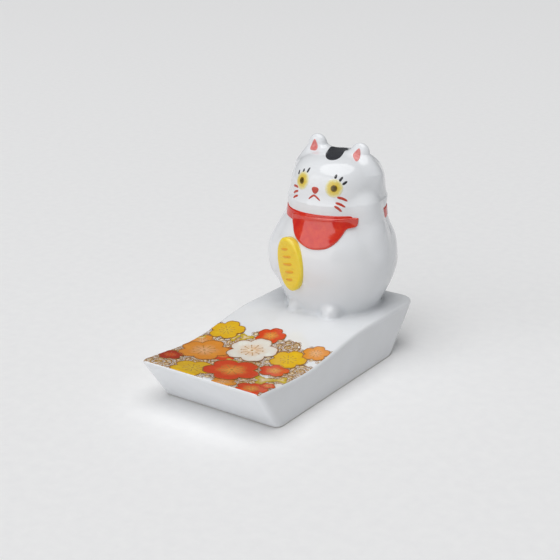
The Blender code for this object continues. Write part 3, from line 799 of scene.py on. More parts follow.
COLLAR_LOW, COLLAR_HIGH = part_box("collar")
BIB_OUTLINE = ((-27.5, 52.0), (-26.5, 49.8), (-22.4, 48.2), (-16.3, 46.0), (-8.4, 44.2),
               (0.4, 42.9), (8.3, 42.3), (17.1, 42.5), (24.5, 43.2), (31.8, 44.9), (37.7, 47.0),
               (42.5, 48.9), (47.0, 49.5), (51.0, 49.5), (54.0, 49.8), (55.4, 50.6),
               (55.6, 51.8), (54.8, 52.8), (46.0, 52.8), (30.0, 52.7), (9.0, 52.6),
               (-12.0, 52.6))


class FIGURINE_OT_collar(bpy.types.Operator):
    """Makes the raised collar round the neck and the bib that hangs from it"""
    bl_idname = "figurine.collar"
    bl_label = "Collar and bib"

    def execute(self, context):
        enamel, colors = context.scene.figurine_enamel, context.scene.figurine_colors
        red = enamel_material("red_enamel", colors.red[:], 0.35, edge=0.7, thin=0.35,
                              pale=tint(colors.red, 1.25, 4.5, 1.6), gloss=0.08, index=1.75)
        band_red = enamel_material("collar_red_enamel", colors.red[:], 0.35, edge=0.7,
                                   thin=0.35, pale=tint(colors.red, 1.2, 3.0, 1.4), gloss=0.1)
        turns = np.arange(0, 360, 2.0)
        middle = (COLLAR_LOW.z + COLLAR_HIGH.z) / 2
        starts, along = round_cat(turns, np.full(len(turns), middle))
        line = trace(body_distance, starts, along)
        half = (COLLAR_HIGH.z - COLLAR_LOW.z) / 2
        widths = half * (1 + 0.04 * np.sin(np.radians(turns * 3 + 40)))
        band = ribbon(body_distance, line, widths, enamel.collar_relief, 3, closed=True)
        keys = ("depth", "reach")
        piece("collar_enamelled", joined("collar", [band], keys), band_red, "red_enamel",
              ("collar",))
        cat = cat_distance_with(context.scene.figurine_clay)
        outline = closed_smooth([(t, z * MM) for t, z in BIB_OUTLINE])
        cloth = patch(cat, outline, round_cat, enamel.bib_relief, 0.7 * MM, 18)
        piece("bib_enamelled", joined("bib", [cloth], keys), red, "red_enamel", ("bib",))
        return {"FINISHED"}


COIN_TURN, COIN_TILT, COIN_HEIGHT, COIN_FACE = -12.0, 12.0, 18.4 * MM, 23.3 * MM
COIN_HALF_WIDTH, COIN_HALF_LENGTH, COIN_SHIFT = 5.8 * MM, 9.5 * MM, -0.5 * MM
COIN_BEND, COIN_ROUND = 50 * MM, 0.8 * MM  # curve across the face, rounding of the rim
COIN_STROKES = ((-0.4, 5.4, 3.4), (0.2, 2.7, 4.2), (-0.1, 0.0, 4.6), (0.3, -2.7, 4.2),
                (-0.2, -5.4, 3.4))


class FIGURINE_OT_coin(bpy.types.Operator):
    """Makes the oval coin with its hammered lines and painted strokes"""
    bl_idname = "figurine.coin"
    bl_label = "Coin"

    def execute(self, context):
        enamel, colors = context.scene.figurine_enamel, context.scene.figurine_colors
        frame_out = upright_frame(COIN_TURN, COIN_HEIGHT, COIN_FACE, COIN_TILT)
        frame_out = frame_out @ Matrix.Translation((COIN_SHIFT, 0, -0.35 * MM))
        rings = [coin_ring(share, z) for share, z in coin_profile()]
        points, faces = loft(rings)
        local = np.column_stack([points[:, :3], np.ones(len(points))])
        placed = np.hstack([(local @ np.array(frame_out).T)[:, :3], points[:, 3:]])
        yellow = enamel_material("coin_enamel", colors.coin[:], 0.5, (1, 1, 3.0), 0.9, 0.5,
                                 pale=tint(colors.coin, 1.0, 1.22, 4.0), gloss=0.13)
        keys = ("depth", "reach")
        piece("coin_enamelled", joined("coin", [(placed, faces)], keys), yellow,
              "coin_yellow_enamel", ("koban_coin",))

        def face(points):
            """Distance in front of the coin's domed face."""
            inverse = np.array(frame_out.inverted())
            local = points @ inverse[:3, :3].T + inverse[:3, 3]
            return local[:, 2] - coin_face(local[:, 0], local[:, 1])

        lines = facing(frame_out, 4 * MM)
        marks = [brush_mark(face, lines, [((x - w / 2) * MM, (y + 0.15) * MM), (x * MM, y * MM),
                                          ((x + w / 2) * MM, (y + 0.1) * MM)],
                            1.0 * MM, enamel.film, 0.15) for x, y, w in COIN_STROKES]
        orange = enamel_material("coin_stroke_enamel", colors.coin_mark[:], 0.8, thin=0.8,
                                 pale=tint(colors.coin, 1.0, 0.95, 1.0))
        piece("coin_strokes", joined("coin_strokes", marks, keys), orange, "coin_yellow_enamel")
        return {"FINISHED"}


def coin_face(x, y):
    """The coin's front: a low dome with hammered lines across it."""
    share = np.clip(np.hypot(x / COIN_HALF_WIDTH, y / COIN_HALF_LENGTH), 0, 1)
    hammered = np.cos(2 * np.pi * y / (1.35 * MM)) * (1 - share ** 6)
    return 0.35 * MM - x ** 2 / COIN_BEND + 0.03 * MM * hammered


def coin_profile():
    """Share of the outline and height of each ring, from the middle round to the back."""
    flat = 1 - COIN_ROUND / COIN_HALF_WIDTH
    face = [(share, 0.0) for share in np.linspace(0.03, flat, 40)]
    rim = [(flat + (1 - flat) * math.sin(a), COIN_ROUND * (math.cos(a) - 1))
           for a in np.linspace(0.15, math.pi / 2, 9)]
    back = [(1.0, -1.6 * MM), (0.985, -3.0 * MM), (0.9, -3.4 * MM), (0.5, -3.4 * MM)]
    return face + rim + back


def coin_ring(share, z, count=96):
    angles = np.arange(count) * 2 * math.pi / count
    x = share * COIN_HALF_WIDTH * np.cos(angles)
    y = share * COIN_HALF_LENGTH * np.sin(angles)
    height = coin_face(x, y) + z
    depth = (1 - share) * COIN_HALF_WIDTH / MM
    return np.column_stack([x, y, height, np.full(count, depth), np.full(count, share)])


def middle_of(node):
    """Turn in degrees and height of the middle of a CAD node, seen from the cat's axis."""
    low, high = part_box(node)
    middle = (low + high) / 2
    ahead = axis_y(middle.z - PLATEAU_Z) - middle.y
    return math.degrees(math.atan2(middle.x, ahead)), middle.z


# Strokes of the face: (turn in degrees, height in mm) from end to end
LASHES = {"left": (((27.4, 66.0), (29.7, 67.3)), ((32.6, 65.1), (37.5, 66.6)),
                   ((36.9, 64.1), (43.0, 65.2))),
          "right": (((-28.5, 65.4), (-30.5, 66.8)), ((-19.8, 66.1), (-22.4, 67.7)),
                    ((-13.6, 66.7), (-12.9, 68.4)))}
WHISKERS = {"left": (((31.1, 59.9), (37.2, 59.5), (43.5, 58.6)),
                     ((29.5, 58.1), (35.0, 57.6), (40.8, 56.7)),
                     ((28.4, 57.1), (32.6, 56.3), (37.0, 55.1))),
            "right": (((-34.9, 61.2), (-29.0, 61.4), (-23.2, 61.3)),
                      ((-32.7, 58.8), (-27.7, 59.6), (-22.7, 60.1)),
                      ((-29.9, 57.3), (-25.8, 58.1), (-21.6, 58.6)))}
MOUTH = ((-3.9, 58.4), (-0.6, 59.3), (2.9, 59.9), (7.2, 59.3), (11.3, 58.4))


NOSE_OUTLINE = ((1.2, 0.35), (0.65, 0.95), (-0.65, 0.95), (-1.2, 0.35), (-0.75, -0.7),
                (0, -1.1), (0.75, -0.7))


def oval_outline(centre, half_u, half_v, count=40):
    angles = np.arange(count) * 2 * math.pi / count
    return np.column_stack([centre[0] + half_u * np.cos(angles),
                            centre[1] + half_v * np.sin(angles)])


class FIGURINE_OT_face(bpy.types.Operator):
    """Paints the eyes, lashes, nose, mouth and whiskers"""
    bl_idname = "figurine.face"
    bl_label = "Face"

    def execute(self, context):
        enamel, colors = context.scene.figurine_enamel, context.scene.figurine_colors
        cat = cat_distance_with(context.scene.figurine_clay)
        iris = iris_material(colors)
        black = enamel_material("black_enamel", colors.black[:], 1.0, thin=0.12,
                                pale=(0.06, 0.055, 0.06, 1))
        pupil = enamel_material("pupil_enamel", (0.022, 0.015, 0.003, 1), 1.2, edge=0.6, thin=0.9,
                                pale=tint(colors.iris, 0.4, 0.36, 0.3))
        red = enamel_material("line_red_enamel", colors.line_red[:], 1.2, thin=0.45,
                              pale=tint(colors.line_red, 1.3, 3.5, 3.5))
        for side in ("right", "left"):
            self.paint_eye(cat, side, enamel, iris, pupil)
            self.paint_strokes(cat, side, "lash", LASHES[side], 0.85 * MM, enamel, black,
                               "black_enamel")
            self.paint_strokes(cat, side, "whisker", WHISKERS[side], 0.88 * MM, enamel, red,
                               "vermilion_line_enamel")
        turn, height = middle_of("nose")
        frame_out = upright_frame(turn, height - PLATEAU_Z, 16 * MM)
        nose = patch(cat, closed_smooth(np.array(NOSE_OUTLINE) * 1.12 * MM),
                     facing(frame_out, 8 * MM), 0.2 * MM, 0.5 * MM, 8)
        keys = ("depth", "reach")
        piece("nose_enamelled", joined("nose", [nose], keys), red, "vermilion_line_enamel",
              ("nose",))
        stops = [(turn, height * MM) for turn, height in MOUTH]
        smile = brush_mark(cat, round_cat, stops, 0.7 * MM, enamel.film)
        piece("mouth_enamelled", joined("mouth", [smile], keys), red, "vermilion_line_enamel",
              ("mouth",))
        return {"FINISHED"}

    def paint_eye(self, cat, side, enamel, iris, pupil):
        turn, height = middle_of(side + "_iris")
        lines = facing(upright_frame(turn, height - PLATEAU_Z, 16 * MM), 8 * MM)
        keys = ("depth", "reach")
        for part, radius, rise, material, slot in (
                ("iris", 3.05 * MM, enamel.film, iris, "iris_yellow_enamel"),
                ("pupil", 1.2 * MM, 2.2 * enamel.film, pupil, "black_enamel")):
            disc = patch(cat, oval_outline((0, 0), radius, radius), lines, rise, 0.5 * MM)
            node = side + "_" + part
            piece(node + "_enamelled", joined(node, [disc], keys), material, slot, (node,))

    def paint_strokes(self, cat, side, kind, strokes, width, enamel, material, slot):
        for number, stroke in enumerate(strokes, 1):
            stops = [(turn, height * MM) for turn, height in stroke]
            mark = brush_mark(cat, round_cat, stops, width, enamel.film, -0.12)
            node = f"{side}_{kind}_{number}"
            piece(node + "_enamelled", joined(node, [mark], ("depth", "reach")), material, slot,
                  (node,))


def iris_material(colors):
    """Yellow that is full in the middle and thins to a pale, soft rim."""
    material, tree, shader = shader_tree("iris_yellow_enamel")
    place = object_place(tree)
    reach = attribute(tree, "reach")
    wash = noise(tree, place, 900.0, 3.0, 0.6)
    level = calc(tree, "ADD", reach, spread(tree, wash, 0.3, 0.7, -0.1, 0.1))
    full, pale = colors.iris[:], tint(colors.glaze, 1.0, 0.93, 0.42)
    body = blend(tree, spread(tree, level, 0.3, 0.95, 0, 0.7), full, pale)
    body = blend(tree, spread(tree, level, 0.7, 1.02, 0, 0.9), body,
                 tint(colors.glaze, 1.0, 0.97, 0.75))
    tree.links.new(body, shader.inputs["Base Color"])
    tree.links.new(spread(tree, wash, 0.3, 0.7, 0.07, 0.16), shader.inputs["Roughness"])
    set_shader(shader, IOR=1.54, Specular_IOR_Level=0.5)
    bumped(tree, shader, (wash, 0.00002))
    return material


CROWN_OUTLINE = ((-0.6, -8.0), (-2.2, -5.2), (-3.3, -1.6), (-3.4, 1.4), (-2.2, 3.8), (-0.4, 4.6),
                 (1.5, 3.7), (2.6, -0.2), (3.8, -3.8), (4.5, -6.8), (4.1, -8.8), (2.7, -9.8),
                 (1.0, -9.5))
LINING_CORNERS = {"right": ((-0.3, -0.9), (-2.3, -5.4), (1.7, -5.4)),
                  "left": ((0.5, -0.9), (-2.0, -3.9), (1.6, -5.9))}
HIP_OUTLINE = ((6.6, 0.4), (3.4, 4.2), (-1.0, 5.9), (-5.2, 4.0), (-6.4, -0.6), (-4.0, -4.2),
               (0.4, -5.6), (4.8, -4.0))


class FIGURINE_OT_patches(bpy.types.Operator):
    """Paints the black patches and the inside of the ears"""
    bl_idname = "figurine.patches"
    bl_label = "Patches and ear linings"

    def execute(self, context):
        enamel, colors = context.scene.figurine_enamel, context.scene.figurine_colors
        cat = cat_distance_with(context.scene.figurine_clay)
        black = enamel_material("black_patch_enamel", colors.black[:], 0.5, edge=0.35, thin=0.5,
                                pale=(0.055, 0.058, 0.07, 1), gloss=0.16)
        pink = enamel_material("ear_pink_enamel", colors.pink[:], 0.9, edge=0.5, thin=0.45,
                               pale=tint(colors.pink, 1.2, 3.0, 3.0))
        keys = ("depth", "reach")
        sky = 60 * MM
        above = Matrix.Translation((0, axis_y(sky), PLATEAU_Z + sky))
        leaf = patch(cat, closed_smooth(np.array(CROWN_OUTLINE) * MM), facing(above, 4 * MM),
                     enamel.film, 0.35 * MM, 14)
        piece("crown_patch_enamelled", joined("crown", [leaf], keys), black, "black_enamel",
              ("crown_patch",))
        turn, height = middle_of("hip_patch")
        hip = patch(cat, closed_smooth(np.array(HIP_OUTLINE) * MM),
                    facing(upright_frame(turn, height - PLATEAU_Z, 18 * MM), 14 * MM),
                    enamel.film, 0.35 * MM, 14)
        piece("hip_patch_enamelled", joined("hip", [hip], keys), black, "black_enamel",
              ("hip_patch",))
        for side, word in ((-1, "right"), (1, "left")):
            front = ear_frame(side) @ Matrix.Rotation(math.pi / 2, 4, "X")
            outline = rounded(np.array(LINING_CORNERS[word]) * MM, 0.34)
            lining = patch(cat, outline, facing(front, 6 * MM), enamel.film, 0.4 * MM)
            node = word + "_ear_lining"
            piece(node + "_enamelled", joined(node, [lining], keys), pink, "ear_pink_enamel",
                  (node,))
        return {"FINISHED"}


# ---------------------------------------------------------------- printed blossoms

FLOWER_LOW, FLOWER_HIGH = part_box("flower_field")
PRINT_SIDE, PRINT_FRONT, PRINT_CORNER = 23.1 * MM, -48.5 * MM, 0.5 * MM
# Blossoms on the plinth: print, x, y and radius in mm, turn in degrees, layer
BLOSSOMS = (
    ("orange", 8.5, -47.0, 4.5, 10, 0), ("vermilion", 18.2, -45.8, 5.6, 20, 1),
    ("vermilion", -7.5, -27.0, 6.5, 40, 0), ("yellow", -6.5, -43.5, 7.6, 12, 1),
    ("vermilion", 14.4, -28.3, 5.3, 33, 2), ("vermilion", 20.6, -40.5, 2.6, 5, 2),
    ("orange", -14.2, -27.8, 9.3, 25, 2), ("deep", -19.8, -38.5, 4.6, 50, 2),
    ("yellow", 13.3, -18.7, 6.6, 15, 2), ("orange", 19.0, -11.0, 4.9, 30, 2),
    ("gilt", 8.8, -11.6, 4.2, 8, 1), ("gilt", -18.5, -46.0, 6.5, 30, 0),
    ("gilt", 21.0, -24.0, 4.8, 22, 0), ("gilt", -9.5, -37.0, 4.6, 0, 0),
    ("gilt", 21.5, -32.5, 4.0, 12, 0), ("gilt", -20.5, -32.5, 3.2, 12, 0),
    ("gilt", 4.5, -27.0, 3.6, 4, 0), ("orange", -20.0, -22.0, 5.2, 20, 1),
    ("gilt", 13.5, -43.0, 4.0, 12, 0), ("gilt", -9.0, -17.0, 3.6, 30, 0),
    ("vermilion", 3.9, -36.6, 9.8, 2, 3), ("vermilion", -1.2, -8.0, 5.6, 18, 3),
    ("yellow", -17.3, -11.2, 6.6, 28, 3), ("white", -0.8, -19.3, 9.2, 20, 4),
)
GILT_LINES = ((0.93, 1.0, 14.0), (0.66, 0.73, 14.0), (0.38, 0.46, 12.0), (0.12, 0.24, 8.0))
GROUND_STEP, GROUND_SIZE, GROUND_MARGIN = 3.3, 2.0, 1.0
LEAVES = ((16.5, -37.0, 4.6, 40, 1), (-8.5, -12.5, 3.2, 150, 1), (-12.0, -14.5, 2.6, 60, 1),
          (21.0, -33.5, 3.0, 95, 1), (-2.0, -30.0, 3.0, 20, 0), (-21.5, -20.0, 2.6, 80, 1))


def new_group(name, **inputs):
    """A geometry tree that takes a mesh of points, with a named float input for each size."""
    tree = bpy.data.node_groups.new(name, "GeometryNodeTree")
    sockets = tree.interface
    sockets.new_socket("Points", in_out="INPUT", socket_type="NodeSocketGeometry")
    for key, value in inputs.items():
        socket = sockets.new_socket(key.replace("_", " "), in_out="INPUT",
                                    socket_type="NodeSocketFloat")
        socket.default_value = value
    sockets.new_socket("Material", in_out="INPUT", socket_type="NodeSocketMaterial")
    sockets.new_socket("Mesh", in_out="OUTPUT", socket_type="NodeSocketGeometry")
    return tree, add(tree, "NodeGroupInput").outputs


def swept_sheet(tree, given):
    """A grid whose x runs round a motif from 0 to 1, and whose y runs over it and back under."""
    grid = add(tree, "GeometryNodeMeshGrid", {"Size X": 1.0, "Size Y": 1.0,
                                              "Vertices X": given["Around"],
                                              "Vertices Y": given["Across"]})
    place = add(tree, "ShaderNodeSeparateXYZ", {0: add(tree, "GeometryNodeInputPosition")
                                                .outputs[0]})
    u = calc(tree, "ADD", place.outputs[0], 0.5)
    v = calc(tree, "ADD", place.outputs[1], 0.5)
    over = calc(tree, "MULTIPLY", v, 1 / 0.7, clamp=True)
    under = calc(tree, "MULTIPLY", calc(tree, "SUBTRACT", v, 0.7), 1 / 0.3, clamp=True)
    share = calc(tree, "SUBTRACT", over, under)
    return grid.outputs[0], u, share, under


def petal_outline(tree, given, u):
    """Radius of a blossom at a turn: round petals side by side, each with a small notch."""
    petals, reach = given["Petals"], given["Petal radius"]
    step = calc(tree, "DIVIDE", 1.0, petals)
    swing = calc(tree, "MULTIPLY", calc(tree, "SUBTRACT", calc(
        tree, "MODULO", calc(tree, "ADD", u, calc(tree, "DIVIDE", step, 2.0)), step),
        calc(tree, "DIVIDE", step, 2.0)), 2 * math.pi)
    out = calc(tree, "SUBTRACT", 1.0, reach)
    side = calc(tree, "MULTIPLY", out, calc(tree, "SINE", swing))
    chord = calc(tree, "SQRT", calc(tree, "MAXIMUM", 0.0, calc(
        tree, "SUBTRACT", calc(tree, "MULTIPLY", reach, reach),
        calc(tree, "MULTIPLY", side, side))))
    radius = calc(tree, "ADD", calc(tree, "MULTIPLY", out, calc(tree, "COSINE", swing)), chord)
    dip = calc(tree, "POWER", 2.0, calc(tree, "MULTIPLY", -1.0, calc(
        tree, "POWER", calc(tree, "DIVIDE", side, 0.07), 2.0)))
    return calc(tree, "SUBTRACT", radius, calc(tree, "MULTIPLY", dip, given["Notch"]))


def finish_group(tree, given, mesh, place, reach):
    """Moves the sheet into place, copies it to the points and ends in real mesh."""
    kept = add(tree, "GeometryNodeStoreNamedAttribute",
               {"Geometry": mesh, "Name": "reach", "Value": reach},
               data_type="FLOAT", domain="POINT")
    moved = add(tree, "GeometryNodeSetPosition", {"Geometry": kept.outputs[0],
                                                  "Position": place})
    sealed = add(tree, "GeometryNodeMergeByDistance", {"Geometry": moved.outputs[0],
                                                       "Distance": 0.00001})
    size = add(tree, "GeometryNodeInputNamedAttribute", {"Name": "size"}, data_type="FLOAT")
    turn = add(tree, "GeometryNodeInputNamedAttribute", {"Name": "turn"}, data_type="FLOAT")
    scale = add(tree, "ShaderNodeCombineXYZ", {0: size.outputs[0], 1: size.outputs[0], 2: 1.0})
    spin = add(tree, "ShaderNodeCombineXYZ", {0: 0.0, 1: 0.0, 2: turn.outputs[0]})
    copies = add(tree, "GeometryNodeInstanceOnPoints",
                 {"Points": given["Points"], "Instance": sealed.outputs[0],
                  "Rotation": spin.outputs[0], "Scale": scale.outputs[0]})
    real = add(tree, "GeometryNodeRealizeInstances", {"Geometry": copies.outputs[0]})
    painted = add(tree, "GeometryNodeSetMaterial",
                  {"Geometry": real.outputs[0], "Material": given["Material"]})
    add(tree, "NodeGroupOutput", {0: painted.outputs[0]})
    return tree


def blossom_group():
    """Flat blossoms: whole, or only a band along the outline when Inner is over 0."""
    tree, given = new_group("blossom_print", Petals=5.0, Petal_radius=0.42, Notch=0.05,
                            Inner=0.0, Outer=1.0, Film=0.06 * MM, Sink=0.05 * MM,
                            Around=121.0, Across=21.0)
    mesh, u, share, under = swept_sheet(tree, given)
    outline = petal_outline(tree, given, u)
    width = calc(tree, "SUBTRACT", given["Outer"], given["Inner"])
    reach = calc(tree, "ADD", given["Inner"], calc(tree, "MULTIPLY", width, share))
    radius = calc(tree, "MULTIPLY", reach, outline)
    swing = calc(tree, "MULTIPLY", u, 2 * math.pi)
    rim = calc(tree, "POWER", share, 8.0)
    banded = calc(tree, "GREATER_THAN", given["Inner"], 0.001)
    inner_rim = calc(tree, "MULTIPLY", banded, calc(
        tree, "POWER", calc(tree, "SUBTRACT", 1.0, share), 8.0))
    fall = calc(tree, "SUBTRACT", 1.0, calc(tree, "ADD", rim, inner_rim))
    top = calc(tree, "MULTIPLY", given["Film"],
               calc(tree, "SQRT", calc(tree, "MAXIMUM", fall, 0.0)))
    low = calc(tree, "MULTIPLY", given["Sink"], calc(tree, "SUBTRACT", calc(
        tree, "MULTIPLY", banded, calc(tree, "GREATER_THAN", under, 0.999)), calc(
            tree, "GREATER_THAN", under, 0.001)))
    height = calc(tree, "ADD", calc(tree, "MULTIPLY", top, calc(
        tree, "LESS_THAN", under, 0.001)), low)
    place = add(tree, "ShaderNodeCombineXYZ", {
        0: calc(tree, "MULTIPLY", radius, calc(tree, "COSINE", swing)),
        1: calc(tree, "MULTIPLY", radius, calc(tree, "SINE", swing)), 2: height})
    return finish_group(tree, given, mesh, place.outputs[0], reach)


def stamen_group():
    """A ring of fine stamens with a dot on each, and a dot in the middle."""
    tree, given = new_group("stamens", Count=10.0, Start=0.14, End=0.40, Line=0.014, Dot=0.035,
                            Film=0.05 * MM)
    seeds = add(tree, "GeometryNodeMeshCircle", {"Vertices": given["Count"], "Radius": 1.0})
    step = calc(tree, "DIVIDE", 2 * math.pi, given["Count"])
    swing = calc(tree, "MULTIPLY", add(tree, "GeometryNodeInputIndex").outputs[0], step)
    long = calc(tree, "MULTIPLY", calc(tree, "SUBTRACT", given["End"], given["Start"]), 0.5)
    middle = calc(tree, "MULTIPLY", calc(tree, "ADD", given["End"], given["Start"]), 0.5)
    parts = add(tree, "GeometryNodeJoinGeometry")
    bead = add(tree, "GeometryNodeMeshUVSphere", {"Segments": 10, "Rings": 6, "Radius": 1.0})
    for out, size_x, size_y in ((middle, long, given["Line"]),
                                (given["End"], given["Dot"], given["Dot"])):
        spot = add(tree, "ShaderNodeCombineXYZ", {
            0: calc(tree, "MULTIPLY", out, calc(tree, "COSINE", swing)),
            1: calc(tree, "MULTIPLY", out, calc(tree, "SINE", swing)), 2: 0.0})
        placed = add(tree, "GeometryNodeSetPosition", {"Geometry": seeds.outputs[0],
                                                       "Position": spot.outputs[0]})
        turn = add(tree, "ShaderNodeCombineXYZ", {0: 0.0, 1: 0.0, 2: swing})
        size = add(tree, "ShaderNodeCombineXYZ", {0: size_x, 1: size_y, 2: given["Film"]})
        beads = add(tree, "GeometryNodeInstanceOnPoints", {
            "Points": placed.outputs[0], "Instance": bead.outputs[0],
            "Rotation": turn.outputs[0], "Scale": size.outputs[0]})
        tree.links.new(beads.outputs[0], parts.inputs[0])
    core = calc(tree, "MULTIPLY", given["Dot"], 1.6)
    size = add(tree, "ShaderNodeCombineXYZ", {0: core, 1: core, 2: given["Film"]})
    centre = add(tree, "GeometryNodeTransform", {"Geometry": bead.outputs[0],
                                                 "Scale": size.outputs[0]})
    tree.links.new(centre.outputs[0], parts.inputs[0])
    real = add(tree, "GeometryNodeRealizeInstances", {"Geometry": parts.outputs[0]})
    place = add(tree, "GeometryNodeInputPosition").outputs[0]
    return finish_group(tree, given, real.outputs[0], place, 0.5)


def grown(name, tree, spots, lift, values, material):
    """The mesh that a tree makes on spots: rows of x, y, radius in mm, turn, layer."""
    seeds = bpy.data.meshes.new(name)
    seeds.from_pydata([(x * MM, y * MM, lift(layer)) for x, y, _, _, layer in spots], [], [])
    for key, column, unit in (("size", 2, MM), ("turn", 3, math.radians(1))):
        layer = seeds.attributes.new(key, "FLOAT", "POINT")
        layer.data.foreach_set("value", [spot[column] * unit for spot in spots])
    holder = bpy.data.objects.new(name, seeds)
    bpy.context.scene.collection.objects.link(holder)
    modifier = holder.modifiers.new("print", "NODES")
    modifier.node_group = tree
    for socket in tree.interface.items_tree:
        if socket.in_out == "INPUT" and socket.name in values:
            modifier[socket.identifier] = values[socket.name]
        if socket.in_out == "INPUT" and socket.name == "Material":
            modifier[socket.identifier] = material
    bpy.context.view_layer.update()
    solved = holder.evaluated_get(bpy.context.evaluated_depsgraph_get())
    mesh = bpy.data.meshes.new_from_object(solved)
    holder.modifiers.clear()
    bpy.data.objects.remove(holder)
    bpy.data.meshes.remove(seeds)
    return mesh


def ground_spots():
    """Small motifs on a staggered lattice, wherever a blossom is near, turned this way and that."""
    spots = []
    for row in range(15):
        for column in range(-7, 8):
            x = GROUND_STEP * (column + 0.5 * (row % 2))
            y = -49.0 + 0.87 * GROUND_STEP * row
            if any(math.hypot(x - bx, y - by) < radius + GROUND_MARGIN
                   for _, bx, by, radius, _, _ in BLOSSOMS):
                spots.append((x, y, GROUND_SIZE, 37 * column + 23 * row, 0))
    return spots


def cropped(mesh):
    """Cuts the print off along its straight borders and closes each cut."""
    shells = bmesh.new()
    shells.from_mesh(mesh)
    corner = PRINT_SIDE - PRINT_CORNER
    for place, away in (((PRINT_SIDE, 0, 0), (1, 0, 0)), ((-PRINT_SIDE, 0, 0), (-1, 0, 0)),
                        ((0, PRINT_FRONT, 0), (0, -1, 0)),
                        ((corner, PRINT_FRONT, 0), (1, -1, 0)),
                        ((-corner, PRINT_FRONT, 0), (-1, -1, 0))):
        bmesh.ops.bisect_plane(shells, geom=shells.verts[:] + shells.edges[:] + shells.faces[:],
                               plane_co=place, plane_no=away, clear_outer=True, dist=1e-7)
        bmesh.ops.holes_fill(shells, edges=[e for e in shells.edges if e.is_boundary], sides=0)
    bmesh.ops.triangulate(shells, faces=[f for f in shells.faces if len(f.verts) > 4])
    bmesh.ops.recalc_face_normals(shells, faces=shells.faces)
    shells.to_mesh(mesh)
    shells.free()


def draped(mesh, plinth):
    """Lays a flat print on the plinth's wave."""
    points = np.empty(len(mesh.vertices) * 3)
    mesh.vertices.foreach_get("co", points)
    points = points.reshape(-1, 3)
    starts = points.copy()
    starts[:, 2] = wave_height(points[:, 1]) + 0.5 * MM
    ground = trace(plinth, starts, np.array([0, 0, -1.0]), 14)
    points[:, 2] += np.maximum(ground[:, 2], starts[:, 2] - 1.5 * MM)
    mesh.vertices.foreach_set("co", points.ravel())
    mesh.polygons.foreach_set("use_smooth", [True] * len(mesh.polygons))
    mesh.update()


def print_material(name, color, centre, seed):
    """Printed enamel: paler and warmer in the middle, mottled by the screen, darker at the rim."""
    material, tree, shader = shader_tree(name)
    place = object_place(tree)
    reach = attribute(tree, "reach")
    grain = noise(tree, object_place(tree, (1, 1.3, 1)), 1700.0 + seed, 4.0, 0.65)
    cloud = noise(tree, place, 330.0 + seed, 2.0)
    level = calc(tree, "ADD", reach, spread(tree, grain, 0.3, 0.7, -0.1, 0.1))
    body = blend(tree, spread(tree, level, 0.1, 0.62, 1, 0), color, centre)
    body = blend(tree, spread(tree, cloud, 0.52, 0.72, 0, 0.5), body, tint(color, 1.15, 1.35, 1.3))
    body = blend(tree, spread(tree, level, 0.82, 1.02, 0, 0.55), body,
                 tint(color, 0.82, 0.62, 0.6))
    tree.links.new(body, shader.inputs["Base Color"])
    tree.links.new(spread(tree, grain, 0.3, 0.75, 0.12, 0.3), shader.inputs["Roughness"])
    set_shader(shader, IOR=1.5, Specular_IOR_Level=0.5)
    bumped(tree, shader, (grain, 0.000015), (cloud, 0.00003))
    return material


